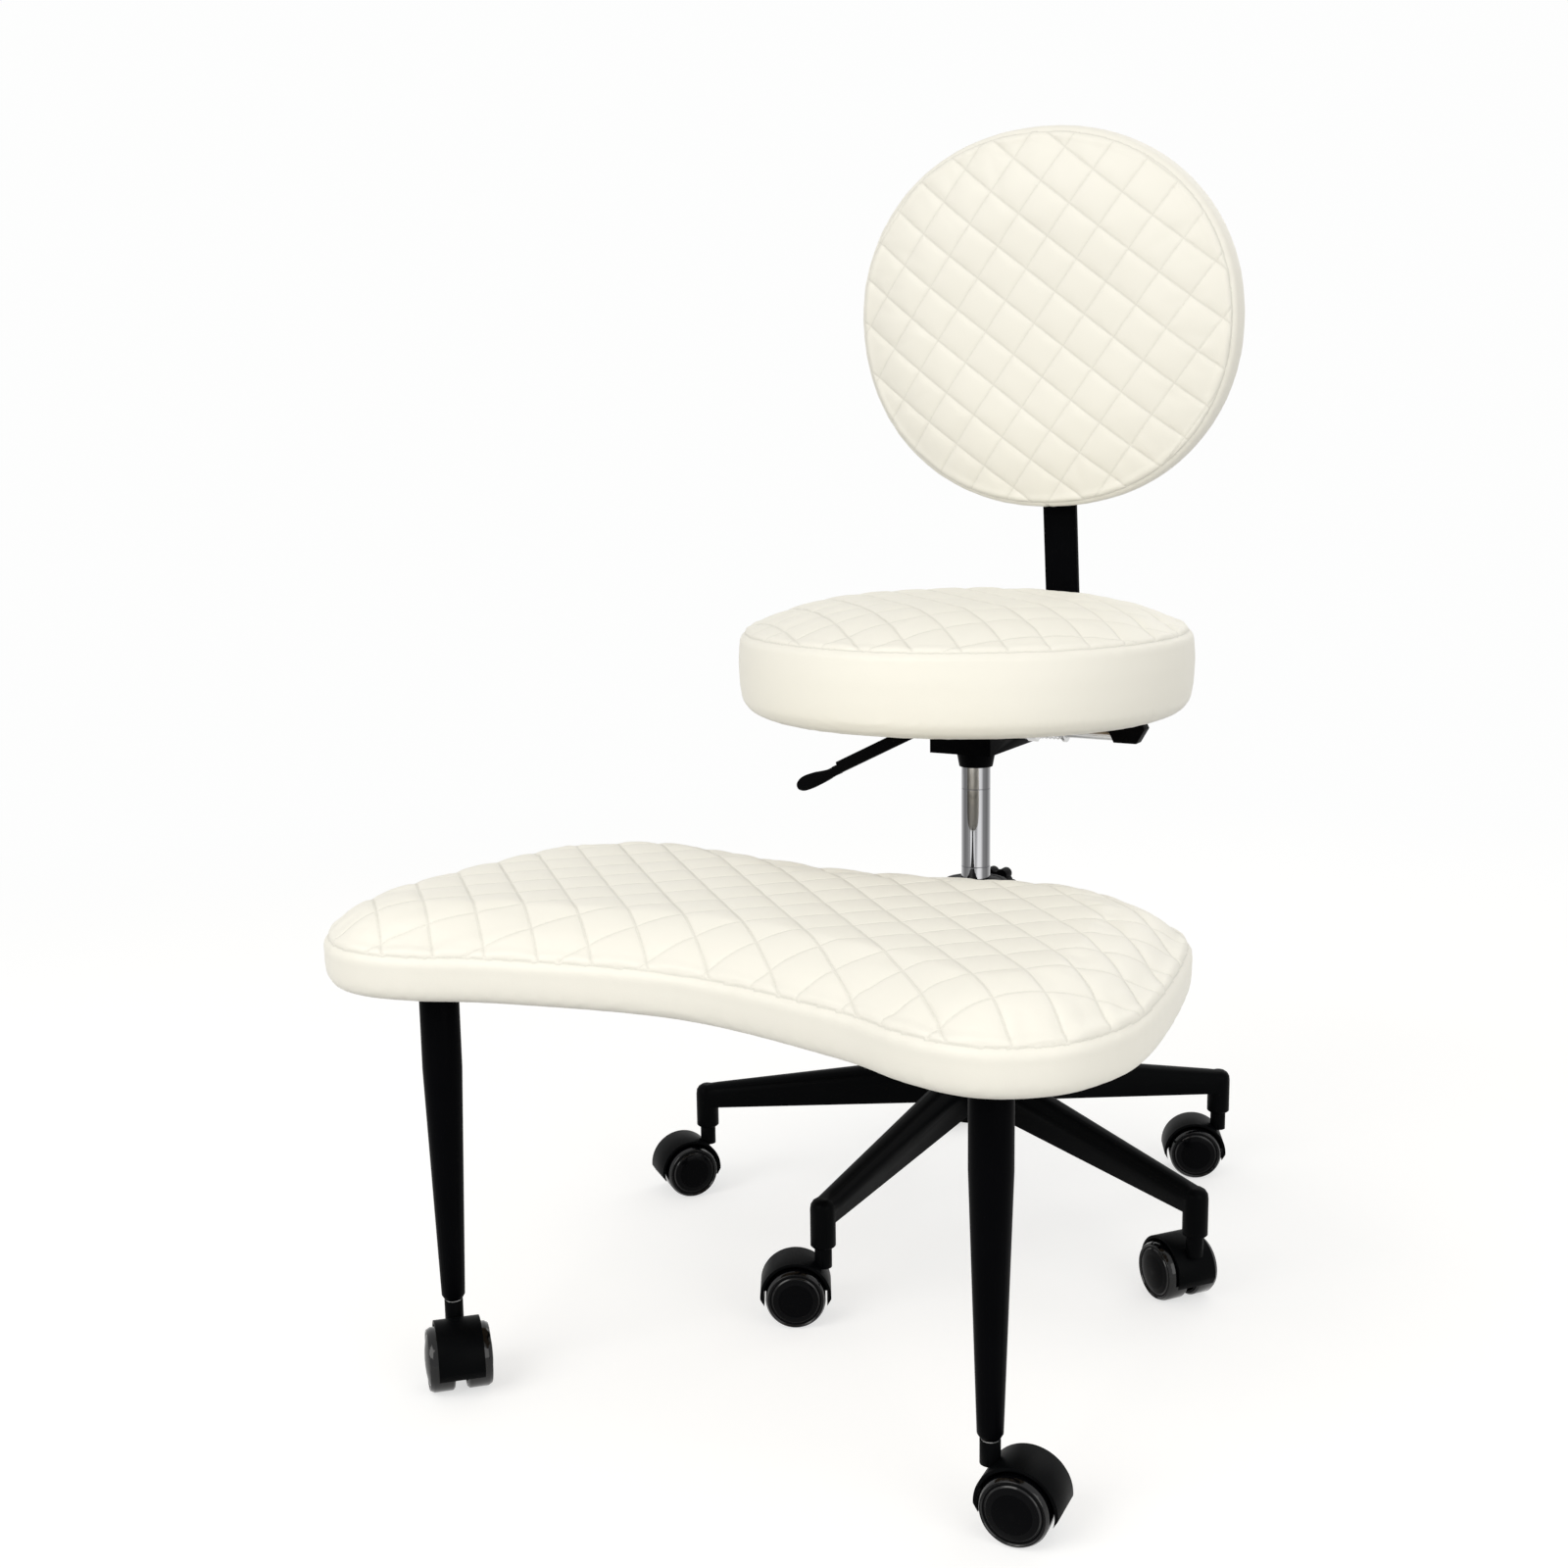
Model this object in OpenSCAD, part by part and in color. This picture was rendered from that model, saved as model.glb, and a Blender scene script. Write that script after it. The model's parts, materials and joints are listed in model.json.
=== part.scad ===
// Cross-legged office chair: a round seat and a round backrest on a five-arm castor base,
// with a kidney-shaped leg rest that swings round the seat column on two castored legs.
// Millimetres. The origin is on the floor under the seat column and +Z is up. The sitter
// faces -Y, so the sitter's left is +X. The seat stands at the top of its travel.

/* [Seat] */
// Widest diameter of the seat cushion
seat_d = 420; // [390:1:450]
// How far the seat's centre lies in front of the column
seat_forward = 27; // [10:1:40]
// Height of the seat board's underside above the floor
seat_base_z = 509; // [500:1:530]
// Height of the top seam above the seat board's underside
seat_seam_h = 74; // [60:1:90]
// Rise of the crown above the top seam
seat_crown = 29; // [15:1:40]
// Distance from the seam over which the crown rises
seat_roll = 100; // [60:1:150]
// Diameter of the plywood seat board
seat_board_d = 360; // [320:1:370]
// Thickness of the plywood seat board
seat_board_t = 12; // [9:1:15]

/* [Quilting] */
// Distance between neighbouring rows of diagonal stitching
quilt_pitch = 37; // [30:1:50]
// Depth of the stitched channels under the crown
quilt_depth = 3.5; // [1:0.5:6]

/* [Backrest] */
// Width of the backrest's front seam
back_w = 380; // [340:1:420]
// Height of the backrest's front seam
back_h = 364; // [330:1:400]
// Squareness of the backrest's outline, 2 for an ellipse
back_square = 2.1; // [2:0.05:2.6]
// Depth of the backrest from its back face to the front seam
back_t = 34; // [26:1:50]
// Rise of the backrest's crown in front of the seam
back_crown = 15; // [8:1:25]
// Distance from the seam over which the backrest's crown rises
back_roll = 75; // [50:1:110]
// Thickness of the plywood backrest board
back_board_t = 9; // [6:1:12]
// Height of the backrest's centre above the floor
back_z = 870; // [860:1:890]
// Forward distance of the bar behind the backrest's centre, measured back from the column
back_y = 190; // [185:1:200]
// Forward lean of the backrest and its bar
back_lean = 6; // [4:0.5:8]

/* [Back bar] */
// Width of the flat steel bar
bar_w = 35; // [30:1:40]
// Thickness of the flat steel bar
bar_t = 6; // [5:0.5:8]
// Inner radius of the bar's bend
bar_bend_r = 18; // [14:1:24]
// Distance of the bar's pivot behind the column
bar_pivot_y = 74; // [70:1:78]
// Depth of the bar's pivot below the seat board
bar_pivot_drop = 25; // [25:1:27]
// Outer radius of the bar's pivot eye
bar_eye_r = 9; // [8:0.5:10]
// Radius of the bar's pivot pin
bar_pin_r = 5; // [4:0.5:6]
// Length of bar above the backrest's centre
bar_above = 90; // [70:1:120]

/* [Seat column] */
// Outer radius of the column tube
column_r = 25; // [24:0.5:26]
// Wall of the column tube
column_wall = 2; // [1.5:0.5:3]
// Height of the column tube's top above the floor
column_top_z = 336; // [330:1:340]
// Radius of the gas spring's polished cylinder
gas_r = 14; // [13:0.5:15]
// Radius of the gas spring's piston rod
rod_r = 5; // [4:0.5:6]
// Height of the gas cylinder's lower end above the floor
gas_low_z = 205; // [195:1:225]
// Radial running clearance of the cylinder in its guide bush
slide_clear = 0.05; // [0.02:0.01:0.08]

/* [Star base] */
// Radius of the castor stems from the column
base_r = 278.6; // [265:0.1:300]
// Number of arms
arm_count = 5; // [5:1:5]
// Direction of the first arm, counter-clockwise from +X
arm_turn = -94.2; // [-98:0.1:-90]
// Height of the arm's ridge where it leaves the hub
arm_root_z = 160; // [155:1:166]
// Height of the arm's ridge over the castor stem
arm_tip_z = 110; // [106:1:116]
// Half the arm's width at the hub
arm_root_half = 16; // [14:0.5:18]
// Half the arm's width at the castor stem
arm_tip_half = 10.6; // [10:0.2:11]
// Wall of the arm round its hollow underside
arm_wall = 3; // [2.5:0.5:4]
// Outer radius of the hub
hub_r = 34; // [32:1:38]
// Height of the hub's underside above the floor
hub_low_z = 104; // [100:1:108]

/* [Castors] */
// Radius of the castor wheels
wheel_r = 26; // [25:0.5:28]
// Half the castor's width over both wheels
caster_half = 27.5; // [26:0.5:30]
// Distance from the stem to the axle
trail = 24.5; // [22:0.5:27]
// Outer radius of the hood
hood_r = 31; // [30.5:0.5:33]
// Width of the hood
hood_w = 37; // [34:1:40]
// Wall of the hood
hood_wall = 2.6; // [2:0.2:2.8]
// Thickness of the web between the wheels
web_t = 9; // [8:0.5:10]
// Radius of the stem
stem_r = 5.5; // [5:0.5:6]
// Radius of the wheel axle
axle_r = 4; // [3:0.5:5]
// Height of every castor socket's mouth above the floor
socket_z = 66; // [65.5:0.5:70]
// Depth of the socket bores
socket_depth = 37; // [30:1:38]
// Directions in which the base castors trail, counter-clockwise from +X
base_caster_turns = [-151, 143, -156, -40, -129];
// Directions in which the left and right leg castors trail
leg_caster_turns = [5, -45];

/* [Seat mechanism] */
// Width of the pressed steel housing
box_w = 62; // [60:1:66]
// Depth of the housing below its mounting plate
box_h = 40; // [40:1:42]
// Distance of the housing's front wall in front of the column
box_front = 37; // [34:1:45]
// Distance of the housing's side walls behind the column
box_rear = 88; // [87:1:92]
// Sheet thickness of the housing and its plate
box_wall = 3; // [2.5:0.5:3.5]
// Width of the mounting plate
plate_w = 150; // [140:1:170]
// Length of the mounting plate
plate_d = 180; // [172:1:200]
// Radius of the cup that receives the gas cylinder
cup_r = 19; // [18:0.5:21]
// Depth of the cup below the housing
cup_h = 16; // [12:1:18]

/* [Height lever] */
// Distance of the lever's pivot to the sitter's right of the column
lever_pivot_x = 24; // [22:0.5:24]
// Depth of the lever's pivot below the seat board
lever_drop = 9; // [9:0.5:9.5]
// Downward slope of the lever outside the housing
lever_slope = 26.6; // [22:0.2:28]
// Reach of the lever's tip from the column
lever_reach = 194; // [170:1:200]
// Radius of the steel lever rod
lever_rod_r = 3.5; // [3:0.5:4]

/* [Recline lever] */
// Distance of the recline rod behind the column
recline_y = 36; // [35:1:38]
// Depth of the recline rod below the seat board
recline_drop = 27; // [26.5:0.5:28]
// Radius of the recline rod
recline_rod_r = 5; // [4.5:0.25:5.5]
// Distance of the handle's inner face from the column's axis
handle_x = 119; // [112:1:130]
// Width of the handle along the rod
handle_w = 34; // [28:1:40]

/* [Leg rest] */
// Width of the leg rest at its seam
rest_w = 674; // [640:1:700]
// Depth of the leg rest from its rear lobes to its front lobes
rest_d = 398; // [380:1:410]
// Distance of the rear lobes in front of the column
rest_rear = 203; // [198:1:215]
// Height of the leg rest board's underside above the floor
rest_base_z = 341; // [338:1:346]
// Height of the seam above the board's underside
rest_seam_h = 39; // [32:1:46]
// Rise of the leg rest's crown above the seam
rest_crown = 19; // [10:1:26]
// Distance from the seam over which the leg rest's crown rises
rest_roll = 60; // [40:1:80]
// Thickness of the leg rest board
rest_board_t = 12; // [9:1:15]
// Width of the arm's rectangular tube
rest_arm_w = 40; // [34:1:44]
// Height of the arm's rectangular tube
rest_arm_h = 22; // [20:1:24]
// Reach of the arm in front of the column
rest_arm_reach = 430; // [405:1:450]
// Height of the collar that turns on the column
collar_h = 34; // [30:1:36]
// Wall of the collar
collar_wall = 4; // [3:0.5:5]

/* [Legs] */
// Distance of each leg in from the leg rest's side
leg_side_inset = 96; // [88:1:108]
// Distance of the legs behind the leg rest's front lobes
leg_front_inset = 89; // [82:1:102]
// Radius of the leg's straight upper part
leg_top_r = 16; // [14:0.5:18]
// Radius of the leg's lower end
leg_foot_r = 9.6; // [9:0.2:11]
// Height at which the leg's taper begins
leg_taper_z = 265; // [220:1:290]

/* [Hidden] */
$fn = 48;
// Overrun of cuts past the faces that they open
cut = 1;
// Radial running clearance of pins and axles
run_clear = 0.05;
// Clearance between faces that move past each other
face_gap = 0.3;
// Clearance round boards in their cushions
fabric_gap = 0.3;
// Height that keeps the trimmed crown above the quilting
quilt_margin = 1.5;
// Puff of each diamond above the plain crown
quilt_puff = 0.5;
// Share of a pitch that the quilting reaches past the outline at least
spare_share = 0.15;

// Cushion edges: how far the sides bulge past the seam and draw in at the foot
seat_r = seat_d / 2;
seat_bulge = 5;
seat_foot_inset = 14;
seat_foot_h = 6;
seat_low_h = 28;
seat_wide_h = 52;
back_bulge = 6;
back_foot_inset = 8;
back_foot_h = 4;
back_low_h = 13;
back_wide_h = 23;
back_board_inset = 16;
rest_bulge = 2.5;
rest_foot_inset = 11;
rest_foot_h = 4;
rest_low_h = 13;
rest_wide_h = 26;
rest_board_inset = 20;
leg_x = rest_w / 2 - leg_side_inset;
leg_y = rest_rear + rest_d - leg_front_inset;
ring_steps = 48;
curve_steps = 2;

// Outline of half the leg rest, from the front middle round to the rear middle, as shares
// of half its width and of its depth
rest_outline_shares = [
    [0, 0.84], [0.415, 0.897], [0.61, 0.955], [0.765, 0.992], [0.9, 0.947], [0.98, 0.847],
    [1, 0.67], [0.92, 0.22], [0.84, 0.08], [0.7, 0.008], [0.52, 0.013], [0.265, 0.06], [0, 0.085]];
// Shares of the roll at which the crown's rings stand
crown_shares = [0.15, 0.5];

// Outline of the lever's paddle from its neck to its tip, as shares of its length and of
// half its width
paddle_shares = [
    [0, 0.35], [0.2, 0.36], [0.38, 0.52], [0.58, 0.86], [0.76, 1], [0.9, 0.84], [1, 0.35],
    [1, -0.35], [0.9, -0.84], [0.76, -1], [0.58, -1], [0.38, -0.95], [0.2, -0.82], [0, -0.75]];

// Heights of the seat mechanism, from the seat board down
plate_low_z = seat_base_z - box_wall;
box_low_z = plate_low_z - box_h;
cup_low_z = box_low_z - cup_h;
socket_above_floor = 22;
taper_h = cup_h + socket_above_floor;
taper_in = 1;
gas_top_z = cup_low_z + taper_h;
sleeve_wall = 3;
plate_corner_r = 16;
plate_bolt_edge_x = 15;
plate_bolt_edge_y = 16;
plate_bolt_x = plate_w / 2 - plate_bolt_edge_x;
plate_bolt_y = plate_d / 2 - plate_bolt_edge_y;
bolt_r = 3;
bolt_head_r = 5.5;
bolt_head_h = 4;
bolt_depth = 9;
floor_gap = 15;
floor_rear = bar_pivot_y - floor_gap;

// Gas spring and bearing
gas_wall = 2;
cavity_r = gas_r - gas_wall;
piston_r = cavity_r - slide_clear;
gland_h = 12;
gas_roof = 20;
cavity_top_z = gas_top_z - gas_roof;
piston_h = 8;
piston_rest = 3;
piston_top_z = gas_low_z + gland_h + piston_rest + piston_h;
clip_pocket_h = 8;
plate_z = hub_low_z + clip_pocket_h;
column_floor_t = 3;
clip_t = 2.2;
clip_r = 9;
clip_groove = 0.5;
clip_pocket_r = 15;
race_t = 2;
race_r = 12;
race_clear = 1;
race_bore_r = rod_r + race_clear;
shoulder_r = 9;
shoulder_h = 4;
bearing_z = plate_z + column_floor_t;
shoulder_z = bearing_z + 3 * race_t;
bush_h = 90;
bush_flange_h = 2;
groove_depth = 0.4;
groove_h = 1.4;
groove_low_drop = 98;
groove_high_drop = 22;
stop_ring_out = 3;
stop_ring_r = column_r + stop_ring_out;
stop_ring_h = 6;

// Star base arms and hub
arm_start = 20;
arm_under_root_z = 119;
arm_under_tip_z = 87;
arm_side_step = 0.8;
arm_post_r = 11.2;
arm_post_chamfer = 1;
arm_roof = 9;
hub_skirt_out = 2;
hub_skirt_r = hub_r + hub_skirt_out;
hub_skirt_h = 12;
hub_shoulder = 4;
rib_t = 3;
bay_start_share = 0.2;
bay_end_share = 0.9;
bay_count = 4;
post_dome_shares = [[1, 0], [0.95, 0.42], [0.77, 0.74], [0.49, 0.94], [0, 1]];

// Castor wheels, hood and stem
wheel_gap = 0.6;
wheel_in_y = web_t / 2 + wheel_gap;
hood_in_r = hood_r - hood_wall;
boss_r = 7.6;
boss_h = 18;
stem_ring_r = 6.8;
stem_ring_h = 1;
boss_top_z = socket_z - stem_ring_h;
boss_floor = 1;
stem_low_z = boss_top_z - boss_h + boss_floor;
stem_tip = 1.5;
axle_end = 4;
axle_half = caster_half - axle_end;
web_boss_r = 11;
tip_drop = 16;
rim_in = 1.8;
rim_r = wheel_r - rim_in;
dish_in = 6;
dish_r = wheel_r - dish_in;
dish_rise = 2.5;
dish_shares = [0, 0.25, 0.5, 0.75, 1];
rim_drop = 2.3;
groove_drop = 3.4;
tread_round = 1.6;
wheel_hub_wall = 4;
wheel_hub_r = axle_r + wheel_hub_wall;
wheel_web_t = 6;
wheel_wall = 3.5;

// Height lever
lever_z = seat_base_z - lever_drop;
lever_hub_r = 5;
lever_hub_w = 12;
lever_pin_r = 2.5;
lever_ear_t = 3;
ear_sink = 0.5;
lever_arm_w = 10;
lever_arm_t = 5;
lever_tip_x = 1;
lever_slot_w = 14;
lever_slot_low = 16;
lever_slot_high = 4;
lever_run = lever_reach - lever_pivot_x;
lever_len = lever_run / cos(lever_slope);
sleeve_start = 42;
sleeve_w = 10;
sleeve_h = 12;
paddle_len = 52;
sleeve_end = lever_len - paddle_len;
paddle_t = 8;
paddle_half = 7.5;
paddle_corner_r = 2;
rod_sink = 8;
rod_end = sleeve_end + rod_sink;
button_r = 3.5;
button_sink = 14;
button_low_z = gas_top_z - button_sink;
button_top_z = lever_z - lever_arm_t / 2 - face_gap;

// Back bar, its pivot and the clamp
pivot_z = seat_base_z - bar_pivot_drop;
eye_below = 1.2;
run_low_z = pivot_z - bar_eye_r + eye_below;
bend_mid_r = bar_bend_r + bar_t / 2;
bend_z = run_low_z + bar_t + bar_bend_r;
bend_y = back_y + ((back_z - bend_z) * sin(back_lean) - bend_mid_r) / cos(back_lean);
upright_len = (back_z - bend_z) * cos(back_lean) + (bend_y - back_y) * sin(back_lean) + bar_above;
bend_steps = 12;
eye_half = box_w / 2 - box_wall - face_gap;
pin_head_h = 3;
pin_head_r = bar_pin_r + pin_head_h;
recline_z = seat_base_z - recline_drop;
cam_r = 6;
cam_rise = 2;
cam_half = 9;
tongue_t = 2.5;
tongue_low_z = recline_z + cam_rise + cam_r + face_gap;
tongue_over = 4;
tongue_front = recline_y - tongue_over;
tongue_half = 12;
clamp_wall = 3;
clamp_gap = 0.1;
clamp_low = -70;
clamp_high = -10;
flange_w = 90;
flange_low = -92;
flange_high = 24;
flange_corner_r = 10;
back_face = bar_t / 2 + clamp_gap + clamp_wall;
screw_r = 2;
screw_head_r = 4;
screw_head_h = 2.4;
screw_depth = 6;
flange_screw_edge = 12;
flange_screw_x = flange_w / 2 - flange_screw_edge;
knob_z = -40;
knob_stud_r = 4;
knob_boss_r = 9;
knob_boss_h = 8;
knob_gap = 1;
knob_r = 19;
knob_h = 18;
knob_core_share = 0.76;
knob_lobe_share = 0.3;
knob_lobes = 6;
knob_cap_share = 0.55;

// Recline rod, cam, nut, spring and handle
nut_r = 11;
spacer_t = 8;
nut_start = box_w / 2 + spacer_t;
nut_t = 10;
spacer_r = 9;
spring_start = nut_start + nut_t + face_gap;
spring_turns = 6;
spring_pitch = 4;
spring_mid_r = 7.1;
wire_r = 0.9;
spring_sides = 6;
spring_rings = 8;
spring_end = spring_start + spring_turns * spring_pitch + 2 * wire_r;
washer_r = 9.5;
washer_t = 3;
washer_x = spring_end + face_gap;
rod_out = 4;
rod_inner = box_w / 2 + rod_out;
handle_top = 12;
handle_low = 6;
handle_taper = 8;
handle_t = 14;
handle_round = 2;
handle_socket = 14;

// Leg rest frame
collar_low_z = column_top_z - collar_h;
collar_bush_t = 2;
collar_bush_clear = 0.06;
collar_in_r = column_r + collar_bush_t;
collar_r = collar_in_r + collar_wall;
collar_flange_in = 1;
collar_flange_r = collar_r - collar_flange_in;
collar_flange_h = 2;
rest_plate_t = 3;
rest_arm_top_z = rest_base_z - rest_plate_t;
rest_arm_wall = 2;
rest_plate_w = 90;
rest_plate_front = 410;
rest_plate_rear = 270;
rest_plate_corner_r = 8;
rest_plate_edge = 10;
collar_knob_drop = 14;
collar_knob_z = column_top_z - collar_knob_drop;
collar_boss_h = 14;
collar_boss_end = collar_r + collar_boss_h;
leg_plate_w = 76;
leg_plate_edge = 11;
leg_plate_corner_r = 10;
leg_wall = 2;
leg_cap_t = 4;
leg_stud_r = 4;
leg_stud_h = 12;
leg_foot_chamfer = 2.3;
leg_foot_h = 4;
wide_screw_depth = 9;

// Castor places: position of the stem and direction of the trail
caster_spots = concat(
    [for (k = [0 : arm_count - 1])
        let (turn = arm_turn + k * 360 / arm_count)
        [[base_r * cos(turn), base_r * sin(turn), 0], base_caster_turns[k]]],
    [[[leg_x, -leg_y, 0], leg_caster_turns[0]], [[-leg_x, -leg_y, 0], leg_caster_turns[1]]]);

// Outlines

// One point of a smooth curve that runs through b and c
function curve_point(a, b, c, d, t) =
    (2 * b + (c - a) * t + (2 * a - 5 * b + 4 * c - d) * t * t
        + (3 * b - a - 3 * c + d) * t * t * t) / 2;

// A smooth closed curve through every control point
function closed_curve(ctrl, steps) =
    let (n = len(ctrl))
    [for (i = [0 : n - 1], s = [0 : steps - 1])
        curve_point(ctrl[(i + n - 1) % n], ctrl[i], ctrl[(i + 1) % n], ctrl[(i + 2) % n], s / steps)];

// The ring drawn in by an inset, for points that run counter-clockwise
function inset_ring(ring, inset) =
    let (n = len(ring))
    [for (i = [0 : n - 1])
        let (run = ring[(i + 1) % n] - ring[(i + n - 1) % n])
        ring[i] + inset * [-run[1], run[0]] / norm(run)];

// Middle of the ring's extent
function ring_middle(ring) =
    let (xs = [for (p = ring) p[0]], ys = [for (p = ring) p[1]])
    [max(xs) + min(xs), max(ys) + min(ys)] / 2;

// Distance from a point to the nearest side of the ring
function side_distance(p, a, b) =
    let (t = max(0, min(1, (p - a) * (b - a) / ((b - a) * (b - a)))))
    norm(p - a - t * (b - a));
function ring_distance(p, ring) =
    let (n = len(ring))
    min([for (i = [0 : n - 1]) side_distance(p, ring[i], ring[(i + 1) % n])]);

// True where the point lies inside the ring
function is_inside(p, ring) =
    let (n = len(ring),
        hits = [for (i = [0 : n - 1])
            let (a = ring[i], b = ring[(i + 1) % n])
            if ((a[1] > p[1]) != (b[1] > p[1])
                && p[0] < (b[0] - a[0]) * (p[1] - a[1]) / (b[1] - a[1]) + a[0]) 1])
    len(hits) % 2 == 1;

// Height of a plain crown above the seam, at a distance inside the seam
function crown_height(inset, crown, roll) =
    crown * (1 - pow(1 - min(inset, roll) / roll, 2));

function circle_ring(r) =
    [for (i = [0 : ring_steps - 1]) r * [cos(360 * i / ring_steps), sin(360 * i / ring_steps)]];
function signed_power(v, p) = sign(v) * pow(abs(v), p);
function backrest_ring() =
    [for (i = [0 : ring_steps - 1])
        let (a = 360 * i / ring_steps)
        [back_w / 2 * signed_power(cos(a), 2 / back_square),
         back_h / 2 * signed_power(sin(a), 2 / back_square)]];
function rest_point(share, side) = [side * share[0] * rest_w / 2, -rest_rear - share[1] * rest_d];
function leg_rest_ring() =
    let (n = len(rest_outline_shares))
    closed_curve(concat(
        [for (i = [0 : n - 1]) rest_point(rest_outline_shares[i], 1)],
        [for (i = [n - 2 : -1 : 1]) rest_point(rest_outline_shares[i], -1)]), curve_steps);

// A solid whose skin runs through rings of points, one level above the other
module ring_loft(rings, heights) {
    n = len(rings[0]);
    last = len(rings) - 1;
    points = [for (k = [0 : last], i = [0 : n - 1]) [rings[k][i][0], rings[k][i][1], heights[k]]];
    foot_middle = concat(ring_middle(rings[0]), [heights[0]]);
    top_middle = concat(ring_middle(rings[last]), [heights[last]]);
    tip = (last + 1) * n;
    sides = [for (k = [0 : last - 1], i = [0 : n - 1], half = [0, 1])
        let (j = (i + 1) % n, low = k * n, high = low + n)
        half == 0 ? [high + i, high + j, low + j] : [high + i, low + j, low + i]];
    foot = [for (i = [0 : n - 1]) [i, (i + 1) % n, tip]];
    top = [for (i = [0 : n - 1]) [last * n + (i + 1) % n, last * n + i, tip + 1]];
    polyhedron(concat(points, [foot_middle, top_middle]), concat(sides, foot, top));
}

// The plain stuffed form: drawn-in foot, bulging side, seam and rolled crown
module stuffed_form(ring, insets, heights, crown, roll) {
    seam_h = heights[len(heights) - 1];
    crown_rings = [for (share = crown_shares) inset_ring(ring, share * roll)];
    crown_heights = [for (share = crown_shares)
        seam_h + crown_height(share * roll, crown, roll) + quilt_margin];
    top_ring = inset_ring(ring, crown_shares[len(crown_shares) - 1] * roll);
    ring_loft(
        concat([for (inset = insets) inset_ring(ring, inset)], crown_rings, [top_ring]),
        concat(heights, crown_heights, [seam_h + crown + 3 * quilt_margin]));
}

// A sheet of diamonds over the ring: channels on the diagonals, a puff in each diamond
module quilted_sheet(ring, seam_h, crown, roll) {
    middle = ring_middle(ring);
    reach = max([for (p = ring) abs(p[0] - middle[0]) + abs(p[1] - middle[1])]) / sqrt(2);
    m = 2 * ceil(reach / quilt_pitch + spare_share);
    crossing = function (i, j)
        middle + quilt_pitch * [(i - m / 2) - (j - m / 2), (i - m / 2) + (j - m / 2)] / sqrt(2);
    height = function (p)
        seam_h + (is_inside(p, ring) ? crown_height(ring_distance(p, ring), crown, roll) : 0);
    lift = function (p, rise) [p[0], p[1], height(p) + rise];
    corners = [for (i = [0 : m], j = [0 : m]) lift(crossing(i, j), -quilt_depth)];
    centres = [for (i = [0 : m - 1], j = [0 : m - 1]) lift(crossing(i + 0.5, j + 0.5), quilt_puff)];
    walls = [
        [for (i = [0 : m]) i * (m + 1)],
        [for (j = [0 : m]) m * (m + 1) + j],
        [for (i = [m : -1 : 0]) i * (m + 1) + m],
        [for (j = [m : -1 : 0]) j]];
    feet = [for (wall = walls) [corners[wall[0]][0], corners[wall[0]][1], -seam_h]];
    centre_start = len(corners);
    foot_start = centre_start + len(centres);
    diamonds = [for (i = [0 : m - 1], j = [0 : m - 1])
        let (a = i * (m + 1) + j, b = a + m + 1, c = b + 1, d = a + 1, mid = centre_start + i * m + j)
        each [[a, mid, b], [b, mid, c], [c, mid, d], [d, mid, a]]];
    skirt = [for (k = [0 : 3]) concat([foot_start + k], walls[k], [foot_start + (k + 1) % 4])];
    base = [for (k = [0 : 3]) foot_start + k];
    polyhedron(concat(corners, centres, feet), concat(diamonds, skirt, [base]));
}

// A quilted cushion whose underside is at zero and whose seam lies on the ring
module quilted_cushion(ring, insets, heights, crown, roll) {
    intersection() {
        stuffed_form(ring, insets, heights, crown, roll);
        quilted_sheet(ring, heights[len(heights) - 1], crown, roll);
    }
}

// Small shared shapes

module at_points(points) {
    for (p = points) translate(p) children();
}

function corners_of(x, y) = [[x, y, 0], [-x, y, 0], [-x, -y, 0], [x, -y, 0]];

module rounded_plate(w, d, t, r) {
    linear_extrude(t) {
        square([w - 2 * r, d], center = true);
        square([w, d - 2 * r], center = true);
        at_points(corners_of(w / 2 - r, d / 2 - r)) circle(r);
    }
}

// A pan-head screw with its head under zero and its shank rising
module pan_screw(depth) {
    translate([0, 0, -screw_head_h]) cylinder(h = screw_head_h, r1 = screw_head_r * 0.7, r2 = screw_head_r);
    cylinder(h = depth, r = screw_r);
}

// A hexagonal bolt with its head under zero and its shank rising
module hex_bolt(depth) {
    translate([0, 0, -bolt_head_h]) cylinder(h = bolt_head_h, r = bolt_head_r, $fn = 6);
    cylinder(h = depth, r = bolt_r);
}

// A lobed knob on a stud that points along -Z, with its inner face at zero
module lobed_knob(stud) {
    cylinder(h = knob_h * 0.75, r = knob_r * knob_core_share);
    for (k = [0 : knob_lobes - 1])
        rotate(k * 360 / knob_lobes)
            translate([knob_r * (1 - knob_lobe_share), 0, 0])
                cylinder(h = knob_h * 0.75, r = knob_r * knob_lobe_share);
    translate([0, 0, knob_h * 0.75])
        cylinder(h = knob_h * 0.25, r1 = knob_r * knob_core_share * 0.95, r2 = knob_r * knob_cap_share);
    translate([0, 0, -stud]) cylinder(h = stud + cut, r = knob_stud_r);
}

// Star base and seat column

module arm_side_profile(roof, inset) {
    slope = (arm_under_root_z - arm_under_tip_z) / base_r;
    polygon([
        [arm_start, arm_root_z - arm_root_half - roof],
        [base_r - inset, arm_tip_z - arm_tip_half - roof],
        [base_r - inset, arm_under_tip_z],
        [arm_start, arm_under_root_z - slope * arm_start]]);
}

module arm_plan(inset) {
    polygon([
        [arm_start, arm_root_half - inset], [arm_start, inset - arm_root_half],
        [base_r, inset - arm_tip_half], [base_r, arm_tip_half - inset]]);
}

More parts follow.
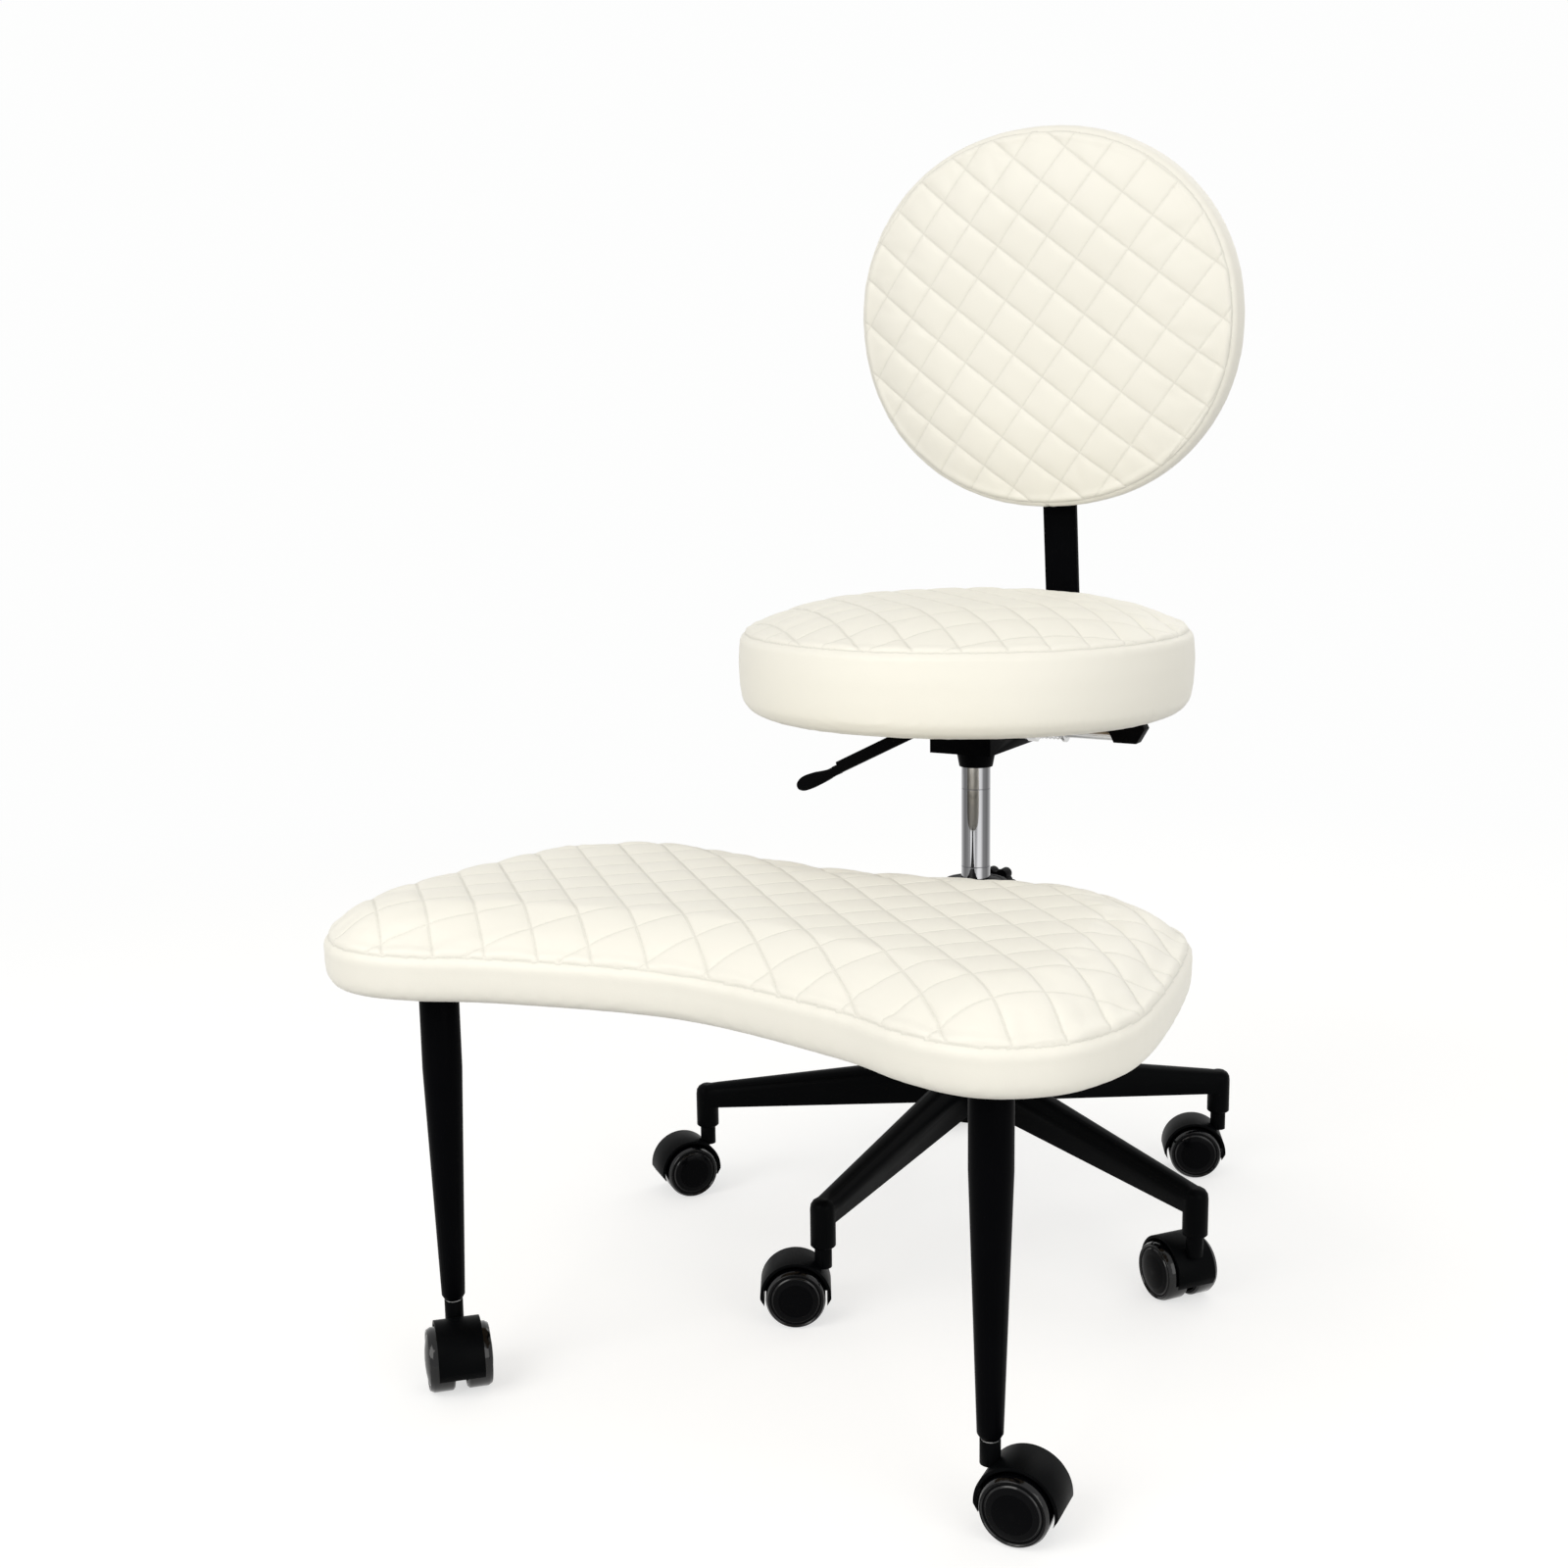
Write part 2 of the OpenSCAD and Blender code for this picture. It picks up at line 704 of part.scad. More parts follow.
module arm_body() {
    run = base_r - arm_start;
    drop = arm_root_z - arm_root_half - arm_tip_z + arm_tip_half;
    translate([arm_start, 0, arm_root_z - arm_root_half])
        rotate([0, 90 + atan2(drop, run), 0])
            cylinder(h = norm([run, drop]), r1 = arm_root_half, r2 = arm_tip_half);
    intersection() {
        rotate([90, 0, 0]) linear_extrude(4 * arm_root_half, center = true) arm_side_profile(0, 0);
        linear_extrude(2 * arm_root_z) arm_plan(arm_side_step);
    }
}

// Hollow bays in the arm's underside, with a rib between neighbours
module arm_bays() {
    bay_start = base_r * bay_start_share;
    bay_run = base_r * (bay_end_share - bay_start_share) / bay_count;
    for (k = [0 : bay_count - 1])
        intersection() {
            rotate([90, 0, 0])
                linear_extrude(4 * arm_root_half, center = true)
                    polygon([
                        [arm_start, arm_root_z - arm_root_half - arm_roof],
                        [base_r, arm_tip_z - arm_tip_half - arm_roof],
                        [base_r, 0], [arm_start, 0]]);
            linear_extrude(2 * arm_root_z) arm_plan(arm_wall + arm_side_step);
            translate([bay_start + k * bay_run, -arm_root_half, 0])
                cube([bay_run - rib_t, 2 * arm_root_half, 2 * arm_root_z]);
        }
}

module arm_post() {
    dome = arm_post_r * 0.9;
    rotate_extrude()
        polygon(concat(
            [[0, socket_z], [arm_post_r - arm_post_chamfer, socket_z],
             [arm_post_r, socket_z + arm_post_chamfer]],
            [for (s = post_dome_shares) [arm_post_r * s[0], arm_tip_z - dome + dome * s[1]]]));
}

module hub_body() {
    rotate_extrude()
        polygon([
            [0, hub_low_z], [hub_skirt_r, hub_low_z], [hub_skirt_r, hub_low_z + hub_skirt_h],
            [hub_r, hub_low_z + 2 * hub_skirt_h], [hub_r, arm_root_z - hub_shoulder],
            [hub_r - hub_shoulder, arm_root_z], [0, arm_root_z]]);
}

module star_base() {
    color("black") difference() {
        union() {
            hub_body();
            for (k = [0 : arm_count - 1]) rotate(arm_turn + k * 360 / arm_count) {
                difference() {
                    arm_body();
                    arm_bays();
                }
                translate([base_r, 0, 0]) arm_post();
            }
        }
        translate([0, 0, hub_low_z - cut]) cylinder(h = arm_root_z, r = column_r);
        for (k = [0 : arm_count - 1]) rotate(arm_turn + k * 360 / arm_count)
            translate([base_r, 0, socket_z - cut])
                cylinder(h = socket_depth + cut, r = stem_r + run_clear);
    }
}

module column_tube() {
    color("black") difference() {
        union() {
            translate([0, 0, hub_low_z]) cylinder(h = column_top_z - hub_low_z, r = column_r);
            translate([0, 0, collar_low_z - stop_ring_h]) cylinder(h = stop_ring_h, r = stop_ring_r);
        }
        translate([0, 0, bearing_z]) cylinder(h = column_top_z, r = column_r - column_wall);
        translate([0, 0, hub_low_z - cut]) cylinder(h = plate_z - hub_low_z + cut, r = clip_pocket_r);
        translate([0, 0, hub_low_z]) cylinder(h = column_top_z, r = rod_r + run_clear);
    }
}

module guide_bush() {
    color("dimgray") difference() {
        union() {
            translate([0, 0, column_top_z - bush_h]) cylinder(h = bush_h, r = column_r - column_wall);
            translate([0, 0, column_top_z]) cylinder(h = bush_flange_h, r = column_r);
        }
        translate([0, 0, column_top_z - bush_h - cut])
            cylinder(h = bush_h + bush_flange_h + 2 * cut, r = gas_r + slide_clear);
    }
}

module piston_rod() {
    color("silver") difference() {
        union() {
            translate([0, 0, plate_z - 2 * clip_t])
                cylinder(h = piston_top_z - plate_z + 2 * clip_t, r = rod_r);
            translate([0, 0, shoulder_z]) cylinder(h = shoulder_h, r = shoulder_r);
            translate([0, 0, piston_top_z - piston_h]) cylinder(h = piston_h, r = piston_r);
        }
        translate([0, 0, plate_z - clip_t]) difference() {
            cylinder(h = clip_t, r = rod_r + cut);
            cylinder(h = clip_t, r = rod_r - clip_groove);
        }
    }
}

module ring(z, h, outer, inner) {
    translate([0, 0, z]) difference() {
        cylinder(h = h, r = outer);
        translate([0, 0, -cut]) cylinder(h = h + 2 * cut, r = inner);
    }
}

// Two races with a cage between them, and the clip under the column's floor
module rod_bearing() {
    color("silver") {
        ring(bearing_z, race_t, race_r, race_bore_r);
        ring(bearing_z + race_t, race_t, race_r - clip_groove, race_bore_r + clip_groove);
        ring(bearing_z + 2 * race_t, race_t, race_r, race_bore_r);
        ring(plate_z - clip_t, clip_t, clip_r, rod_r - clip_groove + run_clear);
    }
}

// Polished cylinder with a tapered top that seats in the cup, and two turned marks
module gas_cylinder() {
    color("silver") difference() {
        union() {
            translate([0, 0, gas_low_z]) cylinder(h = cup_low_z - gas_low_z, r = gas_r);
            translate([0, 0, cup_low_z]) cylinder(h = taper_h, r1 = gas_r, r2 = gas_r - taper_in);
        }
        translate([0, 0, gas_low_z - cut]) cylinder(h = gland_h + 2 * cut, r = rod_r + run_clear);
        translate([0, 0, gas_low_z + gland_h])
            cylinder(h = cavity_top_z - gas_low_z - gland_h, r = cavity_r);
        translate([0, 0, cavity_top_z - cut]) cylinder(h = taper_h, r = button_r + run_clear);
        for (drop = [groove_low_drop, groove_high_drop])
            ring(cup_low_z - drop, groove_h, gas_r + cut, gas_r - groove_depth);
    }
}

// Seat mechanism

module lever_ears(outer_r) {
    for (side = [-1, 1])
        translate([-lever_pivot_x, side * (lever_hub_w / 2 + face_gap + lever_ear_t / 2), lever_z])
            rotate([90, 0, 0]) cylinder(h = lever_ear_t, r = outer_r, center = true);
}

module mechanism_housing() {
    cup_bore_r = gas_r;
    color("black") difference() {
        union() {
            translate([0, 0, plate_low_z]) rounded_plate(plate_w, plate_d, box_wall, plate_corner_r);
            for (side = [-1, 1])
                translate([side * (box_w - box_wall) / 2 - box_wall / 2, -box_front, box_low_z])
                    cube([box_wall, box_front + box_rear, box_h]);
            translate([-box_w / 2, -box_front, box_low_z]) cube([box_w, box_wall, box_h]);
            translate([-box_w / 2, -box_front, box_low_z]) cube([box_w, box_front + floor_rear, box_wall]);
            translate([0, 0, cup_low_z]) cylinder(h = cup_h, r1 = cup_r - sleeve_wall, r2 = cup_r);
            translate([0, 0, box_low_z]) cylinder(h = taper_h - cup_h, r = gas_r + sleeve_wall);
            lever_ears(lever_drop - box_wall + ear_sink);
        }
        translate([0, 0, cup_low_z]) cylinder(h = taper_h, r1 = cup_bore_r, r2 = cup_bore_r - taper_in);
        translate([0, 0, cup_low_z - cut]) cylinder(h = 2 * cut, r = cup_bore_r);
        translate([0, 0, gas_top_z - cut]) cylinder(h = 2 * cut, r = cup_bore_r - taper_in);
        translate([-lever_pivot_x, 0, lever_z])
            rotate([90, 0, 0]) cylinder(h = box_w, r = lever_pin_r, center = true);
        translate([-box_w / 2 - cut, -lever_slot_w / 2, lever_z - lever_slot_low])
            cube([box_wall + 2 * cut, lever_slot_w, lever_slot_low + lever_slot_high]);
        translate([0, bar_pivot_y, pivot_z])
            rotate([0, 90, 0]) cylinder(h = 2 * box_w, r = bar_pin_r, center = true);
        translate([0, recline_y, recline_z])
            rotate([0, 90, 0]) cylinder(h = 2 * box_w, r = recline_rod_r + run_clear, center = true);
        translate([0, 0, plate_low_z - cut]) at_points(corners_of(plate_bolt_x, plate_bolt_y))
            cylinder(h = box_wall + 2 * cut, r = bolt_r);
    }
}

// The height lever's pin and the back bar's headed pin
module pivot_pins() {
    color("silver") {
        translate([-lever_pivot_x, 0, lever_z]) rotate([90, 0, 0])
            cylinder(h = lever_hub_w + 2 * (face_gap + lever_ear_t), r = lever_pin_r, center = true);
        translate([0, bar_pivot_y, pivot_z]) rotate([0, 90, 0]) {
            cylinder(h = box_w + 2 * pin_head_h, r = bar_pin_r, center = true);
            for (side = [-1, 1])
                translate([0, 0, side * (box_w + pin_head_h) / 2])
                    cylinder(h = pin_head_h, r = pin_head_r, center = true);
        }
    }
}

function spring_point(turn) =
    [spring_start + wire_r + spring_pitch * turn,
     recline_y + spring_mid_r * cos(360 * turn), recline_z + spring_mid_r * sin(360 * turn)];

// One unbroken coil of round wire
module coil() {
    last = spring_turns * spring_rings;
    rings = [for (k = [0 : last], s = [0 : spring_sides - 1])
        let (turn = k / spring_rings, out = [0, cos(360 * turn), sin(360 * turn)],
            along = [spring_pitch, -2 * PI * spring_mid_r * sin(360 * turn),
                2 * PI * spring_mid_r * cos(360 * turn)],
            across = cross(along / norm(along), out), a = 360 * s / spring_sides)
        spring_point(turn) + wire_r * (cos(a) * out + sin(a) * across)];
    skin = [for (k = [0 : last - 1], s = [0 : spring_sides - 1], half = [0, 1])
        let (t = (s + 1) % spring_sides, low = k * spring_sides, high = low + spring_sides)
        half == 0 ? [high + t, low + t, low + s] : [high + s, high + t, low + s]];
    first_cap = [for (s = [0 : spring_sides - 1]) s];
    last_cap = [for (s = [spring_sides - 1 : -1 : 0]) last * spring_sides + s];
    polyhedron(rings, concat(skin, [first_cap, last_cap]));
}

spring_gap = min([for (a = [0 : 1 / spring_rings : spring_turns - 1], b = [0.75 : 1 / spring_rings : 1.25])
    if (a + b <= spring_turns) norm(spring_point(a) - spring_point(a + b)) - 2 * wire_r]);
echo(str("Least gap between the spring's turns: ", spring_gap));

// Spacer and lock nut against the housing, the tension spring and its washer
module recline_spring() {
    color("silver") {
        translate([0, recline_y, recline_z]) rotate([0, 90, 0]) {
            ring(box_w / 2, nut_start - box_w / 2, spacer_r, recline_rod_r + run_clear);
            difference() {
                translate([0, 0, nut_start]) cylinder(h = nut_t, r = nut_r, $fn = 6);
                translate([0, 0, nut_start - cut])
                    cylinder(h = nut_t + 2 * cut, r = recline_rod_r + run_clear);
            }
            ring(washer_x, washer_t, washer_r, recline_rod_r + run_clear);
        }
        coil();
    }
}

module seat_board() {
    color("burlywood") difference() {
        translate([0, -seat_forward, seat_base_z]) cylinder(h = seat_board_t, r = seat_board_d / 2);
        translate([0, 0, seat_base_z - cut]) at_points(corners_of(plate_bolt_x, plate_bolt_y))
            cylinder(h = bolt_depth + 2 * cut, r = bolt_r);
    }
}

module seat_cushion() {
    seam_ring = circle_ring(seat_r - seat_bulge);
    insets = [seat_foot_inset, seat_foot_inset / 4, -seat_bulge * 0.8, -seat_bulge, 0];
    heights = [0, seat_foot_h, seat_low_h, seat_wide_h, seat_seam_h];
    color("ivory") translate([0, -seat_forward, seat_base_z]) difference() {
        quilted_cushion(seam_ring, insets, heights, seat_crown, seat_roll);
        translate([0, 0, -cut])
            cylinder(h = seat_board_t + fabric_gap + cut, r = seat_board_d / 2 + fabric_gap);
    }
}

module seat_bolts() {
    color("silver") translate([0, 0, plate_low_z])
        at_points(corners_of(plate_bolt_x, plate_bolt_y)) hex_bolt(bolt_depth + box_wall);
}

// The lever's own axes: origin at the pivot, +X down along the lever's slope
module along_lever() {
    translate([-lever_pivot_x, 0, lever_z]) rotate([0, lever_slope, 180]) children();
}

module height_lever() {
    color("black") difference() {
        union() {
            translate([-lever_pivot_x, 0, lever_z]) rotate([90, 0, 0])
                cylinder(h = lever_hub_w, r = lever_hub_r, center = true);
            translate([-lever_pivot_x, -lever_arm_w / 2, lever_z - lever_arm_t / 2])
                cube([lever_pivot_x + lever_tip_x, lever_arm_w, lever_arm_t]);
            along_lever() rotate([0, 90, 0]) cylinder(h = rod_end, r = lever_rod_r);
        }
        translate([-lever_pivot_x, 0, lever_z]) rotate([90, 0, 0])
            cylinder(h = 2 * lever_hub_w, r = lever_pin_r + run_clear, center = true);
    }
}

// Moulded sleeve on the rod that ends in a drop-shaped finger paddle
module height_lever_grip() {
    outline = closed_curve([for (p = paddle_shares) [sleeve_end + p[0] * paddle_len, p[1] * paddle_half]], 3);
    color("black") difference() {
        along_lever() {
            translate([sleeve_start, 0, 0]) rotate([0, 90, 0])
                rounded_plate(sleeve_h, sleeve_w, sleeve_end - sleeve_start, paddle_corner_r);
            rotate([90, 0, 0]) linear_extrude(paddle_t, center = true) polygon(outline);
        }
        along_lever() rotate([0, 90, 0]) cylinder(h = rod_end, r = lever_rod_r);
    }
}

module release_button() {
    color("silver") translate([0, 0, button_low_z]) cylinder(h = button_top_z - button_low_z, r = button_r);
}

// Cross rod with the cam that holds the back bar's tongue
module recline_rod() {
    color("silver") translate([0, recline_y, recline_z]) rotate([0, 90, 0]) {
        translate([0, 0, -rod_inner]) cylinder(h = rod_inner + handle_x + handle_socket, r = recline_rod_r);
        translate([-cam_rise, 0, 0]) cylinder(h = 2 * cam_half, r = cam_r, center = true);
    }
}

module recline_handle() {
    low = -handle_low;
    color("black") translate([handle_x, recline_y, recline_z]) difference() {
        rotate([90, 0, 0]) linear_extrude(handle_t, center = true)
            polygon([
                [0, handle_top - handle_round], [handle_round, handle_top],
                [handle_w + handle_round, handle_top],
                [handle_w + handle_taper / 2, handle_top - 2 * handle_round],
                [handle_w - handle_taper / 2, low], [handle_taper, low]]);
        rotate([0, 90, 0]) translate([0, 0, -cut]) cylinder(h = handle_socket + cut, r = recline_rod_r);
    }
}

// Back bar

// Point on the bar's side view: round the bend by turn at radius r, then along by length past it
function bend_point(r, turn, along) = [
    bend_y + r * cos(turn) - along * sin(turn),
    bend_z + r * sin(turn) + along * cos(turn)];

function bend_arc(r) = [
    for (k = [0:bend_steps]) bend_point(r, -90 + (90 + back_lean) * k / bend_steps, 0)];

module bar_profile() {
    outer_r = bar_bend_r + bar_t;
    inner_arc = bend_arc(bar_bend_r);
    polygon(concat(
        [[bar_pivot_y, run_low_z]],
        bend_arc(outer_r),
        [bend_point(outer_r, back_lean, upright_len), bend_point(bar_bend_r, back_lean, upright_len)],
        [for (k = [0:bend_steps]) inner_arc[bend_steps - k]],
        [[bar_pivot_y, run_low_z + bar_t]]));
}

// Flat bar bent to an L, with the pivot eye and the lock tongue welded to its front end
module back_bar() {
    color("black") difference() {
        union() {
            rotate([90, 0, 90]) linear_extrude(bar_w, center = true) bar_profile();
            translate([0, bar_pivot_y, pivot_z]) rotate([0, 90, 0])
                cylinder(h = 2 * eye_half, r = bar_eye_r, center = true);
            translate([-tongue_half, tongue_front, tongue_low_z])
                cube([2 * tongue_half, bar_pivot_y - tongue_front, tongue_t]);
        }
        translate([0, bar_pivot_y, pivot_z]) rotate([0, 90, 0])
            cylinder(h = 2 * box_w, r = bar_pin_r + run_clear, center = true);
    }
}

// The backrest's own axes: origin at its centre on the bar, +Z up along the bar
module on_back() {
    translate([0, back_y, back_z]) rotate([back_lean, 0, 0]) children();
}

// Faces forward: +Z of the children becomes the sitter's side of the backrest
module on_back_face() {
    on_back() translate([0, -back_face, 0]) rotate([90, 0, 0]) children();
}

module backrest_board() {
    color("burlywood") on_back_face() difference() {
        linear_extrude(back_board_t) polygon(inset_ring(backrest_ring(), back_board_inset));
        at_flange_screws() translate([0, 0, -cut]) cylinder(h = screw_depth + cut, r = screw_r);
    }
}

module at_flange_screws() {
    for (x = [-flange_screw_x, flange_screw_x],
        z = [flange_low + flange_screw_edge, flange_high - flange_screw_edge])
        translate([x, z, 0]) children();
}

module backrest_cushion() {
    insets = [back_foot_inset, 0, -back_bulge * 0.9, -back_bulge, 0];
    heights = [0, back_foot_h, back_low_h, back_wide_h, back_t];
    color("ivory") on_back_face() difference() {
        quilted_cushion(backrest_ring(), insets, heights, back_crown, back_roll);
        translate([0, 0, -cut]) linear_extrude(back_board_t + fabric_gap + cut)
            polygon(inset_ring(backrest_ring(), back_board_inset - fabric_gap));
    }
}

// Pressed clamp that slides on the bar, with a flange screwed to the board
module back_clamp() {
    inner_w = bar_w + 2 * clamp_gap;
    inner_t = bar_t + 2 * clamp_gap;
    outer_w = inner_w + 2 * clamp_wall;
    color("black") on_back() difference() {
        union() {
            translate([-outer_w / 2, -inner_t / 2 - clamp_wall, clamp_low])
                cube([outer_w, inner_t + 2 * clamp_wall, clamp_high - clamp_low]);
            translate([0, -inner_t / 2, (flange_low + flange_high) / 2]) rotate([90, 0, 0])
                rounded_plate(flange_w, flange_high - flange_low, clamp_wall, flange_corner_r);
            translate([0, inner_t / 2, knob_z]) rotate([-90, 0, 0])
                cylinder(h = clamp_wall + knob_boss_h, r = knob_boss_r);
        }
        translate([-inner_w / 2, -inner_t / 2, flange_low - cut])
            cube([inner_w, inner_t, flange_high - flange_low + 2 * cut]);
        translate([0, 0, knob_z]) rotate([-90, 0, 0])
            cylinder(h = 3 * knob_boss_h, r = knob_stud_r + run_clear);
        translate([0, -inner_t / 2 + cut, 0]) rotate([90, 0, 0]) at_flange_screws()
            cylinder(h = clamp_wall + 2 * cut, r = screw_r);
    }
}

module back_screws() {
    color("silver") on_back() translate([0, -bar_t / 2 - clamp_gap, 0]) rotate([90, 0, 0])
        at_flange_screws() pan_screw(clamp_wall + screw_depth);
}

module back_knob() {
    start = bar_t / 2 + clamp_gap + clamp_wall + knob_boss_h + knob_gap;
    color("black") on_back() translate([0, start, knob_z]) rotate([-90, 0, 0])
        lobed_knob(start - bar_t / 2 - face_gap);
}

// Leg rest

module leg_rest_arm() {
    tube_start = collar_in_r + collar_wall / 2;
    plate_y = -(rest_plate_front + rest_plate_rear) / 2;
    color("black") difference() {
        union() {
            translate([0, 0, collar_low_z]) cylinder(h = collar_h, r = collar_r);
            translate([-rest_arm_w / 2, -rest_arm_reach, rest_arm_top_z - rest_arm_h])
                cube([rest_arm_w, rest_arm_reach - tube_start, rest_arm_h]);
            translate([0, plate_y, rest_arm_top_z])
                rounded_plate(rest_plate_w, rest_plate_front - rest_plate_rear, rest_plate_t,
                    rest_plate_corner_r);
            translate([0, 0, collar_knob_z]) rotate([-90, 0, 0])
                cylinder(h = collar_boss_end, r = knob_boss_r);
        }
        translate([0, 0, collar_low_z - cut]) cylinder(h = collar_h + 2 * cut, r = collar_in_r);
        translate([rest_arm_wall - rest_arm_w / 2, -rest_arm_reach - cut,
                rest_arm_top_z - rest_arm_h + rest_arm_wall])
            cube([rest_arm_w - 2 * rest_arm_wall, rest_arm_reach - collar_r - rest_arm_wall + cut,
                rest_arm_h - 2 * rest_arm_wall]);
        translate([0, 0, collar_knob_z]) rotate([-90, 0, 0])
            cylinder(h = collar_boss_end + cut, r = knob_stud_r + run_clear);
        translate([0, plate_y, rest_arm_top_z - cut]) at_rest_plate_screws()
            cylinder(h = rest_plate_t + 2 * cut, r = screw_r);
    }
}

module at_rest_plate_screws() {
    at_points(corners_of(rest_plate_w / 2 - rest_plate_edge,
        (rest_plate_front - rest_plate_rear) / 2 - rest_plate_edge)) children();
}

module collar_bush() {
    bore_r = column_r + collar_bush_clear;
    color("dimgray") difference() {
        union() {
            translate([0, 0, collar_low_z]) cylinder(h = collar_h, r = collar_in_r);
            translate([0, 0, column_top_z]) cylinder(h = collar_flange_h, r = collar_flange_r);
        }
        translate([0, 0, collar_low_z - cut]) cylinder(h = collar_h + collar_flange_h + 2 * cut, r = bore_r);
        translate([0, 0, collar_knob_z]) rotate([-90, 0, 0])
            cylinder(h = collar_boss_end, r = knob_stud_r + run_clear);
    }
}

module at_leg_plate_screws() {
    at_points(corners_of(leg_plate_w / 2 - leg_plate_edge, leg_plate_w / 2 - leg_plate_edge)) children();
}

module at_legs() {
    at_points([[leg_x, -leg_y, 0], [-leg_x, -leg_y, 0]]) children();
}

module leg_rest_board() {
    color("burlywood") difference() {
        translate([0, 0, rest_base_z]) linear_extrude(rest_board_t)
            polygon(inset_ring(leg_rest_ring(), rest_board_inset));
        translate([0, 0, rest_base_z - cut]) {
            at_legs() {
                cylinder(h = leg_stud_h - rest_plate_t + cut, r = leg_stud_r);
                at_leg_plate_screws() cylinder(h = wide_screw_depth + cut, r = screw_r);
            }
            translate([0, -(rest_plate_front + rest_plate_rear) / 2, 0]) at_rest_plate_screws()
                cylinder(h = wide_screw_depth + cut, r = screw_r);
        }
    }
}

module leg_rest_cushion() {
    insets = [rest_foot_inset, rest_foot_inset / 5, -rest_bulge, -rest_bulge, 0];
    heights = [0, rest_foot_h, rest_low_h, rest_wide_h, rest_seam_h];
    color("ivory") translate([0, 0, rest_base_z]) difference() {
        quilted_cushion(leg_rest_ring(), insets, heights, rest_crown, rest_roll);
        translate([0, 0, -cut]) linear_extrude(rest_board_t + fabric_gap + cut)
            polygon(inset_ring(leg_rest_ring(), rest_board_inset - fabric_gap));
    }
}

module leg_plates() {
    color("black") translate([0, 0, rest_arm_top_z]) at_legs() difference() {
        rounded_plate(leg_plate_w, leg_plate_w, rest_plate_t, leg_plate_corner_r);
        translate([0, 0, -cut]) cylinder(h = rest_plate_t + 2 * cut, r = leg_stud_r);
        translate([0, 0, -cut]) at_leg_plate_screws() cylinder(h = rest_plate_t + 2 * cut, r = screw_r);
    }
}

// Tapered tube leg, closed at the top, with its socket below and the threaded stud above
module leg() {
    socket_top_z = socket_z + socket_depth;
    socket_r = stem_r + run_clear;
    foot_in_r = leg_foot_r - leg_wall;
    top_in_r = leg_top_r - leg_wall;
    color("black") difference() {
        union() {
            rotate_extrude() polygon([
                [0, socket_z], [leg_foot_r - leg_foot_chamfer, socket_z], [leg_foot_r, socket_z + leg_foot_h],
                [leg_top_r, leg_taper_z], [leg_top_r, rest_arm_top_z], [0, rest_arm_top_z]]);
            translate([0, 0, rest_arm_top_z]) cylinder(h = leg_stud_h, r = leg_stud_r);
        }
        rotate_extrude() polygon([
            [0, socket_z - cut], [socket_r, socket_z - cut], [socket_r, socket_top_z], [foot_in_r, socket_top_z],
            [top_in_r, leg_taper_z], [top_in_r, rest_arm_top_z - leg_cap_t], [0, rest_arm_top_z - leg_cap_t]]);
    }
}

module left_leg() {
    translate([leg_x, -leg_y, 0]) leg();
}

module right_leg() {
    translate([-leg_x, -leg_y, 0]) leg();
}

module leg_rest_screws() {
    color("silver") translate([0, 0, rest_arm_top_z]) {
        at_legs() at_leg_plate_screws() pan_screw(rest_plate_t + wide_screw_depth);
        translate([0, -(rest_plate_front + rest_plate_rear) / 2, 0]) at_rest_plate_screws()
            pan_screw(rest_plate_t + wide_screw_depth);
    }
}

module collar_knob() {
    start = collar_boss_end + knob_gap;
    color("black") translate([0, start, collar_knob_z]) rotate([-90, 0, 0])
        lobed_knob(start - column_r - face_gap);
}

// Castors: origin under the stem, +X towards the trailing axle

module at_caster(index) {
    translate(caster_spots[index][0]) rotate(caster_spots[index][1]) children();
}

module on_axle() {
    translate([trail, 0, wheel_r]) rotate([90, 0, 0]) children();
}

module fender_profile() {
    tip_x = hood_in_r * cos(tip_drop);
    tip_y = -hood_in_r * sin(tip_drop);
    difference() {
        circle(hood_r);
        circle(hood_in_r);
        polygon([[hood_r + cut, 0], [tip_x, tip_y], [-tip_x, tip_y], [-hood_r - cut, 0],
            [-hood_r - cut, -2 * hood_r], [hood_r + cut, -2 * hood_r]]);
    }
}

// Fender over both wheels, web between them, and the stem boss
module caster_hood() {
    color("black") difference() {
        union() {
            on_axle() linear_extrude(hood_w, center = true) fender_profile();
            on_axle() linear_extrude(web_t, center = true) {
                circle(web_boss_r);
                intersection() {
                    circle(hood_in_r + hood_wall / 2);
                    translate([-hood_r, 0]) square([2 * hood_r, hood_r]);
                }
            }
            difference() {
                translate([0, 0, boss_top_z - boss_h]) cylinder(h = boss_h, r = boss_r);
                on_axle() linear_extrude(hood_w, center = true) circle(hood_in_r);
            }
        }
        translate([0, 0, stem_low_z]) cylinder(h = socket_z, r = stem_r);
        on_axle() cylinder(h = 2 * hood_w, r = axle_r, center = true);
    }
}

// Steel stem with its washer face, and the wheel axle
module caster_stem() {
    color("silver") {
        translate([0, 0, stem_low_z])
            cylinder(h = socket_z + socket_depth - stem_low_z - 2 * stem_tip, r = stem_r);
        translate([0, 0, socket_z + socket_depth - 2 * stem_tip])
            cylinder(h = stem_tip, r1 = stem_r, r2 = stem_r - stem_tip);
        translate([0, 0, boss_top_z]) cylinder(h = socket_z - boss_top_z - face_gap, r = stem_ring_r);
        on_axle() cylinder(h = 2 * axle_half, r = axle_r, center = true);
    }
}

